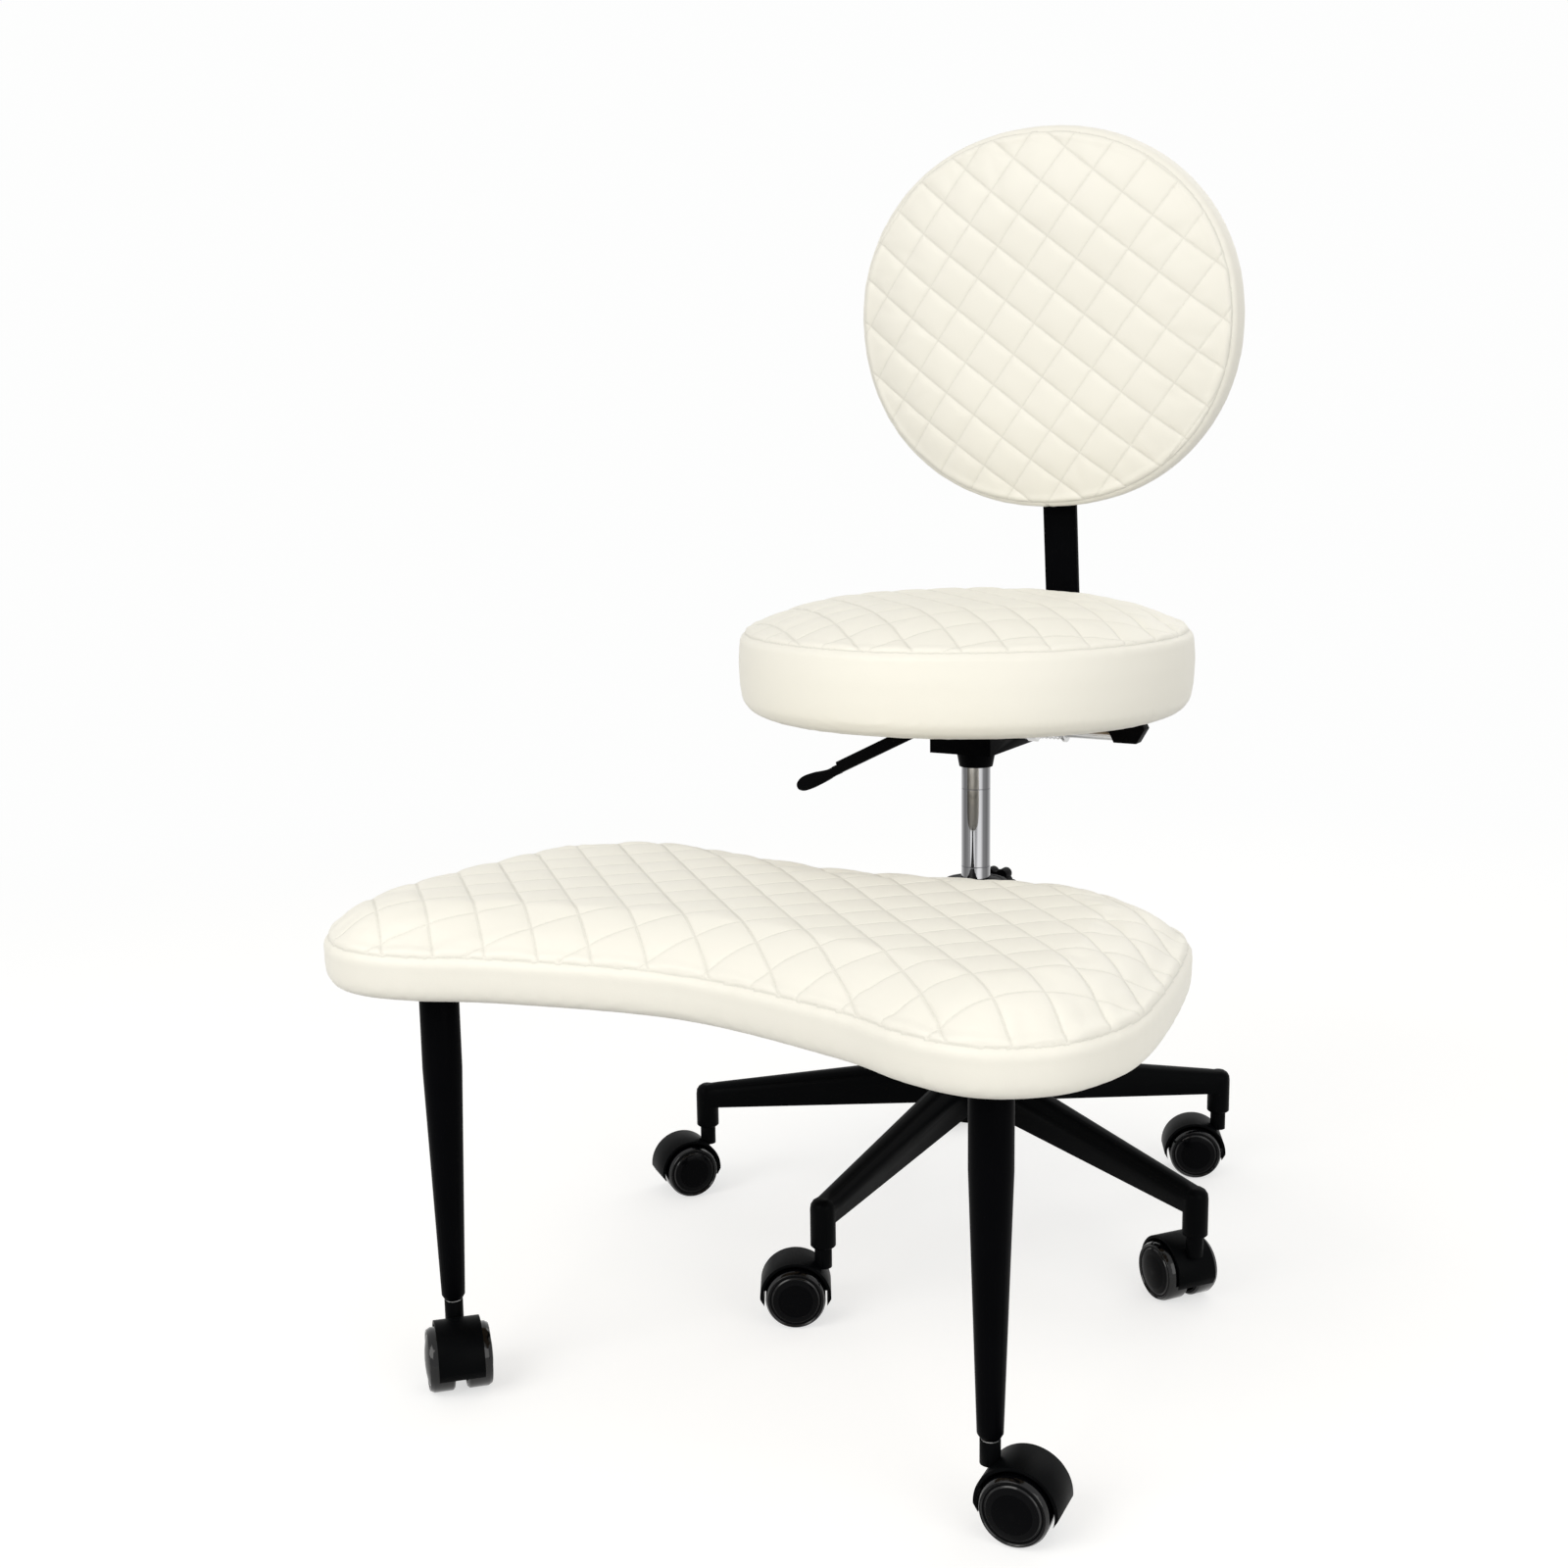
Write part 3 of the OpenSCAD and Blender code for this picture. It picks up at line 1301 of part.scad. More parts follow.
// Twin wheel with a domed face, a rim ring and a hollow inner side
module caster_wheel(side) {
    face_y = caster_half - dish_rise;
    color("black") translate([trail, 0, wheel_r]) rotate([-90 * side, 0, 0])
        rotate_extrude() polygon(concat(
            [for (s = dish_shares) [dish_r * s, caster_half - dish_rise * s * s]],
            [[dish_r + tread_round / 2, caster_half - groove_drop],
             [rim_r - tread_round, caster_half - groove_drop],
             [rim_r - tread_round / 2, caster_half - rim_drop],
             [rim_r, caster_half - rim_drop], [wheel_r, face_y - 2 * tread_round],
             [wheel_r, wheel_in_y + tread_round], [wheel_r - tread_round, wheel_in_y],
             [wheel_r - wheel_wall, wheel_in_y],
             [wheel_r - wheel_wall, caster_half - wheel_web_t - dish_rise],
             [wheel_hub_r, caster_half - wheel_web_t - dish_rise], [wheel_hub_r, wheel_in_y],
             [axle_r + run_clear, wheel_in_y], [axle_r + run_clear, axle_half + face_gap],
             [0, axle_half + face_gap]]));
}

module front_caster_hood() {
    at_caster(0) caster_hood();
}

module front_caster_stem() {
    at_caster(0) caster_stem();
}

module front_caster_left_wheel() {
    at_caster(0) caster_wheel(1);
}

module front_caster_right_wheel() {
    at_caster(0) caster_wheel(-1);
}

module left_caster_hood() {
    at_caster(1) caster_hood();
}

module left_caster_stem() {
    at_caster(1) caster_stem();
}

module left_caster_left_wheel() {
    at_caster(1) caster_wheel(1);
}

module left_caster_right_wheel() {
    at_caster(1) caster_wheel(-1);
}

module rear_left_caster_hood() {
    at_caster(2) caster_hood();
}

module rear_left_caster_stem() {
    at_caster(2) caster_stem();
}

module rear_left_caster_left_wheel() {
    at_caster(2) caster_wheel(1);
}

module rear_left_caster_right_wheel() {
    at_caster(2) caster_wheel(-1);
}

module rear_right_caster_hood() {
    at_caster(3) caster_hood();
}

module rear_right_caster_stem() {
    at_caster(3) caster_stem();
}

module rear_right_caster_left_wheel() {
    at_caster(3) caster_wheel(1);
}

module rear_right_caster_right_wheel() {
    at_caster(3) caster_wheel(-1);
}

module right_caster_hood() {
    at_caster(4) caster_hood();
}

module right_caster_stem() {
    at_caster(4) caster_stem();
}

module right_caster_left_wheel() {
    at_caster(4) caster_wheel(1);
}

module right_caster_right_wheel() {
    at_caster(4) caster_wheel(-1);
}

module left_leg_caster_hood() {
    at_caster(5) caster_hood();
}

module left_leg_caster_stem() {
    at_caster(5) caster_stem();
}

module left_leg_caster_left_wheel() {
    at_caster(5) caster_wheel(1);
}

module left_leg_caster_right_wheel() {
    at_caster(5) caster_wheel(-1);
}

module right_leg_caster_hood() {
    at_caster(6) caster_hood();
}

module right_leg_caster_stem() {
    at_caster(6) caster_stem();
}

module right_leg_caster_left_wheel() {
    at_caster(6) caster_wheel(1);
}

module right_leg_caster_right_wheel() {
    at_caster(6) caster_wheel(-1);
}

star_base();
column_tube();
guide_bush();
piston_rod();
rod_bearing();
gas_cylinder();
mechanism_housing();
pivot_pins();
recline_spring();
seat_board();
seat_cushion();
seat_bolts();
height_lever();
height_lever_grip();
release_button();
recline_rod();
recline_handle();
back_bar();
backrest_board();
backrest_cushion();
back_clamp();
back_screws();
back_knob();
leg_rest_arm();
collar_bush();
leg_rest_board();
leg_rest_cushion();
leg_plates();
left_leg();
right_leg();
leg_rest_screws();
collar_knob();
front_caster_hood();
front_caster_stem();
front_caster_left_wheel();
front_caster_right_wheel();
left_caster_hood();
left_caster_stem();
left_caster_left_wheel();
left_caster_right_wheel();
rear_left_caster_hood();
rear_left_caster_stem();
rear_left_caster_left_wheel();
rear_left_caster_right_wheel();
rear_right_caster_hood();
rear_right_caster_stem();
rear_right_caster_left_wheel();
rear_right_caster_right_wheel();
right_caster_hood();
right_caster_stem();
right_caster_left_wheel();
right_caster_right_wheel();
left_leg_caster_hood();
left_leg_caster_stem();
left_leg_caster_left_wheel();
left_leg_caster_right_wheel();
right_leg_caster_hood();
right_leg_caster_stem();
right_leg_caster_left_wheel();
right_leg_caster_right_wheel();
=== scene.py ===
# Cross-legged office chair with a swinging leg rest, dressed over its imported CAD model.
# Metres, in the CAD model's own frame: the sitter faces -Y and +X is the sitter's left.
import json
import math

import bmesh
import bpy
import numpy as np
from mathutils import Matrix, Vector, noise


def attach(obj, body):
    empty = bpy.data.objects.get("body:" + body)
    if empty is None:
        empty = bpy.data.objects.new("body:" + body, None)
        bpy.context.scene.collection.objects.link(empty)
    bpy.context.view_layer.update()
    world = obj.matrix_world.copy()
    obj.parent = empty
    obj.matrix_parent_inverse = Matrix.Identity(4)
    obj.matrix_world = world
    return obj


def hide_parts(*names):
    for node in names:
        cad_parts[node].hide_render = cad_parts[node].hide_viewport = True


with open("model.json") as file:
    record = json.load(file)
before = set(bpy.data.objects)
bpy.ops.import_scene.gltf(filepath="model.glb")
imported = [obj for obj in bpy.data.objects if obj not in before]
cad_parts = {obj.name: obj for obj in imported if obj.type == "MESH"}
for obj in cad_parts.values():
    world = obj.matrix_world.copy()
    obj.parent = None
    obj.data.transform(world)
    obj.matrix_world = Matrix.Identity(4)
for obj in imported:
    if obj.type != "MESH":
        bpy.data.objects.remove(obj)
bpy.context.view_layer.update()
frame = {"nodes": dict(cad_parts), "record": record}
scene = bpy.context.scene
scene.view_settings.view_transform = "Standard"


# Camera. It stands at the sitter's front left, a little over seat height, and looks slightly
# down, as the product photograph does.
heading = math.radians(-29.845)
dip = math.radians(-10.21)
roll = math.radians(-0.904)
stand = Vector((0.7502, -1.6771, 0.7642))
forward = Vector((math.sin(heading) * math.cos(dip), math.cos(heading) * math.cos(dip), math.sin(dip)))
level = Vector((math.cos(heading), -math.sin(heading), 0))
upward = level.cross(forward)
side = math.cos(roll) * level + math.sin(roll) * upward
top = math.cos(roll) * upward - math.sin(roll) * level
camera_data = bpy.data.cameras.new("camera")
camera_data.lens = 44.52
camera_data.sensor_width = 36
camera_data.sensor_fit = "HORIZONTAL"
camera_data.clip_end = 30
camera = bpy.data.objects.new("camera", camera_data)
camera.matrix_world = Matrix((
    (side.x, top.x, -forward.x, stand.x),
    (side.y, top.y, -forward.y, stand.y),
    (side.z, top.z, -forward.z, stand.z),
    (0, 0, 0, 1)))
scene.collection.objects.link(camera)
scene.camera = camera


# Studio. A plain white floor, clear from below, runs out to a white surround. Three large soft
# lamps light the chair evenly, the key from high on the camera's left.
def node_tree(owner):
    """The emptied node tree of a world or material."""
    owner.use_nodes = True
    owner.node_tree.nodes.clear()
    return owner.node_tree


def add_node(tree, kind, **values):
    """A new node with its own settings, such as its operation."""
    made = tree.nodes.new(kind)
    for key, value in values.items():
        setattr(made, key, value)
    return made


def seen_plainly(tree):
    """1 for camera, mirror and see-through rays, which meet the plain white surround."""
    rays = add_node(tree, "ShaderNodeLightPath")
    either = add_node(tree, "ShaderNodeMath", operation="MAXIMUM")
    any_of = add_node(tree, "ShaderNodeMath", operation="MAXIMUM")
    tree.links.new(rays.outputs["Is Camera Ray"], either.inputs[0])
    tree.links.new(rays.outputs["Is Transmission Ray"], either.inputs[1])
    tree.links.new(either.outputs[0], any_of.inputs[0])
    tree.links.new(rays.outputs["Is Glossy Ray"], any_of.inputs[1])
    return any_of.outputs[0]


plain_white = (0.985, 0.987, 0.985, 1)
room_light = 0.58
world = bpy.data.worlds.new("studio")
scene.world = world
tree = node_tree(world)
output = add_node(tree, "ShaderNodeOutputWorld")
soft = add_node(tree, "ShaderNodeBackground")
soft.inputs["Color"].default_value = (1.0, 0.985, 0.955, 1)
soft.inputs["Strength"].default_value = room_light
plain = add_node(tree, "ShaderNodeBackground")
plain.inputs["Color"].default_value = plain_white
plain.inputs["Strength"].default_value = 1.0
mix = add_node(tree, "ShaderNodeMixShader")
tree.links.new(seen_plainly(tree), mix.inputs[0])
tree.links.new(soft.outputs[0], mix.inputs[1])
tree.links.new(plain.outputs[0], mix.inputs[2])
tree.links.new(mix.outputs[0], output.inputs["Surface"])

floor_reach = 14
floor_drop = 0.0002
shadow_reach = (0.9, 2.4)
paper_glow = 0.62
floor_form = bmesh.new()
bmesh.ops.create_grid(floor_form, x_segments=8, y_segments=8, size=floor_reach)
bmesh.ops.translate(floor_form, vec=(0, 0, -floor_drop), verts=floor_form.verts)
floor_mesh = bpy.data.meshes.new("floor")
floor_form.to_mesh(floor_mesh)
floor_form.free()
floor = bpy.data.objects.new("floor", floor_mesh)
scene.collection.objects.link(floor)
floor_material = bpy.data.materials.new("white_floor")
tree = node_tree(floor_material)
output = add_node(tree, "ShaderNodeOutputMaterial")
coords = add_node(tree, "ShaderNodeTexCoord")
reach = add_node(tree, "ShaderNodeVectorMath", operation="LENGTH")
tree.links.new(coords.outputs["Object"], reach.inputs[0])
faded = add_node(tree, "ShaderNodeMapRange", interpolation_type="SMOOTHSTEP")
faded.inputs["From Min"].default_value = shadow_reach[0]
faded.inputs["From Max"].default_value = shadow_reach[1]
tree.links.new(reach.outputs["Value"], faded.inputs["Value"])
paper = add_node(tree, "ShaderNodeBsdfDiffuse")
paper.inputs["Color"].default_value = (0.5, 0.5, 0.497, 1)
glow = add_node(tree, "ShaderNodeEmission")
glow.inputs["Color"].default_value = plain_white
glow.inputs["Strength"].default_value = paper_glow
both = add_node(tree, "ShaderNodeAddShader")
white = add_node(tree, "ShaderNodeEmission")
white.inputs["Color"].default_value = plain_white
spread = add_node(tree, "ShaderNodeMixShader")
bounce = add_node(tree, "ShaderNodeMixShader")
tree.links.new(paper.outputs[0], both.inputs[0])
tree.links.new(glow.outputs[0], both.inputs[1])
tree.links.new(faded.outputs["Result"], spread.inputs[0])
tree.links.new(both.outputs[0], spread.inputs[1])
tree.links.new(white.outputs[0], spread.inputs[2])
tree.links.new(seen_plainly(tree), bounce.inputs[0])
tree.links.new(paper.outputs[0], bounce.inputs[1])
tree.links.new(spread.outputs[0], bounce.inputs[2])
under = add_node(tree, "ShaderNodeNewGeometry")
clear = add_node(tree, "ShaderNodeBsdfTransparent")
cut_away = add_node(tree, "ShaderNodeMixShader")
tree.links.new(under.outputs["Backfacing"], cut_away.inputs[0])
tree.links.new(bounce.outputs[0], cut_away.inputs[1])
tree.links.new(clear.outputs[0], cut_away.inputs[2])
tree.links.new(cut_away.outputs[0], output.inputs["Surface"])
floor_mesh.materials.append(floor_material)


def soft_lamp(name, place, aim, width, power, tint):
    """A square area lamp that faces a point."""
    lamp = bpy.data.lights.new(name, "AREA")
    lamp.shape = "SQUARE"
    lamp.size = width
    lamp.energy = power
    lamp.color = tint
    holder = bpy.data.objects.new(name, lamp)
    holder.location = place
    holder.rotation_euler = (Vector(aim) - Vector(place)).to_track_quat("-Z", "Y").to_euler()
    scene.collection.objects.link(holder)


chair_middle = (0, -0.2, 0.5)
seat_middle = (0, 0, 0.6)
soft_lamp("key", place=(-0.9, -3.1, 2.2), aim=chair_middle, width=2.2, power=54, tint=(1.0, 0.985, 0.955))
soft_lamp("fill", place=(2.8, -1.5, 1.4), aim=chair_middle, width=2.2, power=29, tint=(1.0, 0.99, 0.97))
soft_lamp("rim", place=(0.6, 2.8, 2.4), aim=seat_middle, width=2.0, power=15, tint=(1.0, 0.99, 0.97))


# Seat cushion. Foam on a round plywood board under pale vinyl leather: a diamond-quilted top
# panel sewn to a plain side band, which is pulled under the board and stapled.
def applied(piece):
    """Makes a piece's modifiers part of its mesh."""
    mesh = bpy.data.meshes.new_from_object(piece.evaluated_get(bpy.context.evaluated_depsgraph_get()))
    piece.modifiers.clear()
    piece.data = mesh
    return mesh


def smooth_loop(control, steps):
    """A closed smooth curve through control points, with so many steps between two of them."""
    control = np.array(control, float)
    a, b, c, d = (np.roll(control, k, axis=0) for k in (1, 0, -1, -2))
    t = (np.arange(steps) / steps)[None, :, None]
    a, b, c, d = (p[:, None, :] for p in (a, b, c, d))
    run = (2 * b + (c - a) * t + (2 * a - 5 * b + 4 * c - d) * t**2 + (3 * b - a - 3 * c + d) * t**3) / 2
    return run.reshape(-1, 2)


def drawn_in(loop, inset):
    """The plan outline, moved inwards everywhere by the same distance."""
    run = np.roll(loop, -1, axis=0) - np.roll(loop, 1, axis=0)
    return loop + inset * np.stack([-run[:, 1], run[:, 0]], 1) / np.linalg.norm(run, axis=1)[:, None]


def nearest_on_loop(points, loop):
    """Distance to a closed plan outline, run along it, and whether each point is inside."""
    ends = np.roll(loop, -1, axis=0)
    span = ends - loop
    length = np.linalg.norm(span, axis=1)
    start = np.concatenate([[0], np.cumsum(length)[:-1]])
    away = np.empty(len(points))
    along = np.empty(len(points))
    inside = np.zeros(len(points), bool)
    batch = 20000
    for low in range(0, len(points), batch):
        p = points[low:low + batch]
        rel = p[:, None, :] - loop[None]
        t = np.clip((rel * span[None]).sum(2) / length[None] ** 2, 0, 1)
        gap = np.linalg.norm(rel - t[..., None] * span[None], axis=2)
        best = gap.argmin(1)
        rows = np.arange(len(p))
        away[low:low + batch] = gap[rows, best]
        along[low:low + batch] = start[best] + t[rows, best] * length[best]
        crosses = (loop[None, :, 1] > p[:, 1:2]) != (ends[None, :, 1] > p[:, 1:2])
        with np.errstate(divide="ignore", invalid="ignore"):
            x = loop[:, 0] + (p[:, 1:2] - loop[:, 1]) * span[:, 0] / span[:, 1]
        inside[low:low + batch] = (crosses & (p[:, 0:1] < x)).sum(1) % 2 == 1
    return away, along, inside


def vertex_places(mesh):
    """A mesh's vertex coordinates, one row for each."""
    places = np.empty(len(mesh.vertices) * 3)
    mesh.vertices.foreach_get("co", places)
    return places.reshape(-1, 3)


def fold(distance, rise, centre, width):
    """A rounded rise, or a groove where the rise is negative, round a centre distance."""
    return rise * np.exp(-((distance - centre) / width) ** 2)


# How the cover is sewn and stuffed, with lengths in metres. Folds are (rise, distance from the
# seam or the join, width).
quilt_pitch = 0.037
quilt_depth = 0.0026
quilt_sunk = 0.8
deep_row_width = 0.0042
light_row_width = 0.0070
light_row_depth = 0.6
quilt_margin = 0.009
roll_above_seam = (0.0010, 0.006, 0.0035)
roll_below_seam = (0.0007, -0.007, 0.0040)
seam_groove = (-0.0013, 0, 0.0024)
join_roll = (0.0006, 0, 0.006)
join_groove = (-0.0018, 0, 0.0018)
band_margin = 0.004
gather_depth = 0.0006
gather_reach = 0.012
gathers_along = 90
gathers_across = 30
crease_depth = 0.0007
crease_scale = 9
stuffing_steps = 20
tacked_h = 0.006
board_grip = 0.004
seam_grip = 0.004
crown_shares = (0.1, 0.25, 0.45)


def stuffed_pad(name, loop, board_inset, board_t, insets, heights, crown, roll_in, quilt_turn, voxel, swell,
        join_share, place):
    """Lofts the stuffed form, lets pressed foam swell it, then sews the quilting and the seam."""
    seam_z = heights[-1]
    form = bmesh.new()
    rings = [(board_inset, board_t), (board_inset, 0)] + list(zip(insets, heights))
    rings += [(share * roll_in, seam_z + crown * (1 - (1 - share) ** 2)) for share in crown_shares]
    first = drawn_in(loop, rings[0][0])
    ring = [form.verts.new((x, y, rings[0][1])) for x, y in first]
    form.faces.new(list(reversed(ring)))
    for inset, z in rings[1:]:
        plan = drawn_in(loop, inset)
        higher = [form.verts.new((x, y, z)) for x, y in plan]
        lower_edges = [form.edges.get((ring[k - 1], ring[k])) or form.edges.new((ring[k - 1], ring[k]))
            for k in range(len(ring))]
        higher_edges = [form.edges.new((higher[k - 1], higher[k])) for k in range(len(higher))]
        bmesh.ops.bridge_loops(form, edges=lower_edges + higher_edges)
        ring = higher
    form.faces.new(ring)
    bmesh.ops.recalc_face_normals(form, faces=form.faces)
    mesh = bpy.data.meshes.new(name)
    form.to_mesh(mesh)
    form.free()
    pad = bpy.data.objects.new(name, mesh)
    scene.collection.objects.link(pad)
    remesh = pad.modifiers.new("even", "REMESH")
    remesh.mode = "VOXEL"
    remesh.voxel_size = voxel
    mesh = applied(pad)

    rest = vertex_places(mesh)
    away, along, inside = nearest_on_loop(rest[:, :2], loop)
    crowned = inside & (rest[:, 2] > seam_z - 0.0005)
    rise = crown * (1 - (1 - np.minimum(away, roll_in) / roll_in) ** 2)
    rest[crowned, 2] = seam_z + rise[crowned]
    mesh.vertices.foreach_set("co", rest.ravel())
    on_board = (rest[:, 2] < board_t + 0.002) & (away > board_inset - board_grip)
    held = (rest[:, 2] < tacked_h) | (~crowned & inside & on_board)
    sewn = np.hypot(away, rest[:, 2] - seam_z) < seam_grip
    group = pad.vertex_groups.new(name="held")
    group.add([int(k) for k in np.nonzero(held | sewn)[0]], 1.0, "REPLACE")
    cloth = pad.modifiers.new("stuffing", "CLOTH")
    cloth.settings.quality = 6
    cloth.settings.mass = 0.3
    cloth.settings.tension_stiffness = 25
    cloth.settings.compression_stiffness = 25
    cloth.settings.shear_stiffness = 12
    cloth.settings.bending_stiffness = 2
    cloth.settings.use_pressure = True
    cloth.settings.uniform_pressure_force = 4
    cloth.settings.vertex_group_mass = "held"
    cloth.settings.effector_weights.gravity = 0
    cloth.point_cache.frame_start = 1
    cloth.point_cache.frame_end = stuffing_steps
    for step in range(stuffing_steps):
        scene.frame_set(step + 1)
    pressed = vertex_places(pad.evaluated_get(bpy.context.evaluated_depsgraph_get()).data)
    pad.modifiers.clear()
    scene.frame_set(1)
    move = pressed - rest
    far = np.linalg.norm(move, axis=1)
    move *= (np.minimum(far, swell) / np.maximum(far, 1e-9))[:, None]
    mesh.vertices.foreach_set("co", (rest + move).ravel())
    finer = pad.modifiers.new("finer", "SUBSURF")
    finer.levels = 1
    finer.render_levels = 1
    mesh = applied(pad)

    now = vertex_places(mesh)
    normal = np.empty(len(mesh.vertices) * 3)
    mesh.vertex_normals.foreach_get("vector", normal)
    normal = normal.reshape(-1, 3)
    away, along, inside = nearest_on_loop(now[:, :2], loop)
    rise = now[:, 2] - seam_z
    over = (np.where(inside, away, -away) + rise > 0) & (now[:, 2] > seam_z / 2)
    off = np.where(over, 1, -1) * np.hypot(away, rise)
    middle = (loop.max(0) + loop.min(0)) / 2
    slant = math.radians(45 + quilt_turn)
    plan = now[:, :2] - middle
    u = (plan[:, 0] * math.cos(slant) + plan[:, 1] * math.sin(slant)) / quilt_pitch
    v = (plan[:, 1] * math.cos(slant) - plan[:, 0] * math.sin(slant)) / quilt_pitch
    across_u = np.abs(u - np.round(u)) * quilt_pitch
    across_v = np.abs(v - np.round(v)) * quilt_pitch
    light_rows = 1 - light_row_depth * np.exp(-across_v / light_row_width)
    pillow = (1 - np.exp(-across_u / deep_row_width)) * light_rows
    fade = np.clip(off / quilt_margin, 0, 1)
    fade = fade * fade * (3 - 2 * fade)
    lift = over * fade * quilt_depth * (pillow - quilt_sunk)
    lift += fold(off, *roll_above_seam) * (off > 0)
    lift += fold(off, *roll_below_seam) * (off < 0)
    lift += fold(off, *seam_groove)
    around = np.linalg.norm(np.roll(loop, -1, axis=0) - loop, axis=1).sum()
    join = (along - join_share * around + around / 2) % around - around / 2
    banded = np.clip(-off / band_margin, 0, 1) * np.clip(now[:, 2] / band_margin, 0, 1)
    lift += banded * (fold(join, *join_roll) + fold(join, *join_groove))
    gathers = np.array([noise.noise(Vector((a * gathers_along, o * gathers_across, 3.1)))
        for a, o in zip(along, off)])
    lift += gather_depth * gathers * np.exp(-np.abs(off) / gather_reach)
    creases = np.array([noise.noise(Vector(p) * crease_scale) for p in now])
    lift += crease_depth * creases * np.clip(now[:, 2] / 0.02, 0, 1)
    mesh.vertices.foreach_set("co", (now + normal * lift[:, None]).ravel())
    sewing = {"seam_off": off, "seam_run": along, "join_off": join, "quilt_u": u, "quilt_v": v}
    for key, value in sewing.items():
        mesh.attributes.new(key, "FLOAT", "POINT").data.foreach_set("value", value)
    mesh.polygons.foreach_set("use_smooth", [True] * len(mesh.polygons))
    mesh.transform(place)
    mesh.update()
    return pad


def new_group(name, inputs, outputs):
    """An empty node group with its named inputs and outputs."""
    group = bpy.data.node_groups.new(name, "ShaderNodeTree")
    for key, kind, value in inputs:
        socket = group.interface.new_socket(name=key, in_out="INPUT", socket_type=kind)
        if value is not None:
            socket.default_value = value
    for key, kind in outputs:
        group.interface.new_socket(name=key, in_out="OUTPUT", socket_type=kind)
    return group, group.nodes.new("NodeGroupInput"), group.nodes.new("NodeGroupOutput")


def maths(tree, operation, first, second=None, third=None, clamp=False):
    """The output of a Math node whose values are sockets or constants."""
    made = tree.nodes.new("ShaderNodeMath")
    made.operation = operation
    made.use_clamp = clamp
    for slot_number, value in enumerate((first, second, third)):
        if value is None:
            continue
        if isinstance(value, (int, float)):
            made.inputs[slot_number].default_value = value
        else:
            tree.links.new(value, made.inputs[slot_number])
    return made.outputs[0]


def blended(tree, mask, first, second):
    """The output of a colour Mix node whose colours are sockets or constants."""
    made = add_node(tree, "ShaderNodeMix", data_type="RGBA")
    tree.links.new(mask, made.inputs[0])
    for colour, slot_number in ((first, 6), (second, 7)):
        if isinstance(colour, tuple):
            made.inputs[slot_number].default_value = (*colour, 1)
        else:
            tree.links.new(colour, made.inputs[slot_number])
    return made.outputs[2]


def bumped(tree, height, strength, distance, under=None):
    """The normal of a Bump node, over another one's where that is given."""
    made = add_node(tree, "ShaderNodeBump")
    made.inputs["Strength"].default_value = strength
    made.inputs["Distance"].default_value = distance
    tree.links.new(height, made.inputs["Height"])
    if under is not None:
        tree.links.new(under, made.inputs["Normal"])
    return made.outputs[0]


def new_surface(name):
    """A material with its nodes, its Principled shader and the Object coordinates."""
    material = bpy.data.materials.new(name)
    tree = node_tree(material)
    shader = add_node(tree, "ShaderNodeBsdfPrincipled")
    output = add_node(tree, "ShaderNodeOutputMaterial")
    tree.links.new(shader.outputs[0], output.inputs["Surface"])
    coords = add_node(tree, "ShaderNodeTexCoord")
    return material, tree, shader, coords.outputs["Object"]


# a row of stitches: dashes of thread that lie in a narrow dent, with a painted shade that darkens the dent
stitch_group, given, result = new_group(
    "stitch row",
    [("Across", "NodeSocketFloat", 0.0), ("Along", "NodeSocketFloat", 0.0),
     ("Stitch", "NodeSocketFloat", 0.0045), ("Thread", "NodeSocketFloat", 0.0005),
     ("Dent", "NodeSocketFloat", 0.0014)],
    [("Mask", "NodeSocketFloat"), ("Height", "NodeSocketFloat"), ("Shade", "NodeSocketFloat")])
offset = maths(stitch_group, "ABSOLUTE", given.outputs["Across"])
near = maths(stitch_group, "SUBTRACT", 1.0,
    maths(stitch_group, "DIVIDE", offset, given.outputs["Thread"]), clamp=True)
stitches = maths(stitch_group, "DIVIDE", given.outputs["Along"], given.outputs["Stitch"])
phase = maths(stitch_group, "SUBTRACT", maths(stitch_group, "FRACT", stitches), 0.5)
dash = maths(stitch_group, "SUBTRACT", 0.5, maths(stitch_group, "ABSOLUTE", phase))
dash = maths(stitch_group, "MULTIPLY", dash, 5.0, clamp=True)
thread = maths(stitch_group, "MULTIPLY", near, dash)
dent = maths(stitch_group, "SUBTRACT", 1.0,
    maths(stitch_group, "DIVIDE", offset, given.outputs["Dent"]), clamp=True)
stitch_group.links.new(thread, result.inputs["Mask"])
stitch_group.links.new(maths(stitch_group, "SUBTRACT", maths(stitch_group, "MULTIPLY", thread, 0.6), dent),
    result.inputs["Height"])
# Shade is painted shade, darkest at the middle of the dent
stitch_group.links.new(maths(stitch_group, "POWER", dent, 1.5), result.inputs["Shade"])

# pebbled grain with softer hollows between the pebbles
grain_group, given, result = new_group(
    "leather grain",
    [("Vector", "NodeSocketVector", None), ("Scale", "NodeSocketFloat", 900.0)],
    [("Height", "NodeSocketFloat"), ("Mottle", "NodeSocketFloat")])
pebbles = add_node(grain_group, "ShaderNodeTexVoronoi", feature="SMOOTH_F1")
pebbles.inputs["Smoothness"].default_value = 0.6
folds = add_node(grain_group, "ShaderNodeTexNoise")
folds.inputs["Scale"].default_value = 240
folds.inputs["Detail"].default_value = 4
mottle = add_node(grain_group, "ShaderNodeTexNoise")
mottle.inputs["Scale"].default_value = 14
mottle.inputs["Detail"].default_value = 3
for texture in (pebbles, folds, mottle):
    grain_group.links.new(given.outputs["Vector"], texture.inputs["Vector"])
grain_group.links.new(given.outputs["Scale"], pebbles.inputs["Scale"])
pebble = maths(grain_group, "SUBTRACT", 1.0, pebbles.outputs["Distance"])
grain_height = maths(grain_group, "MULTIPLY_ADD", folds.outputs["Fac"], 0.7, pebble)
grain_group.links.new(grain_height, result.inputs["Height"])
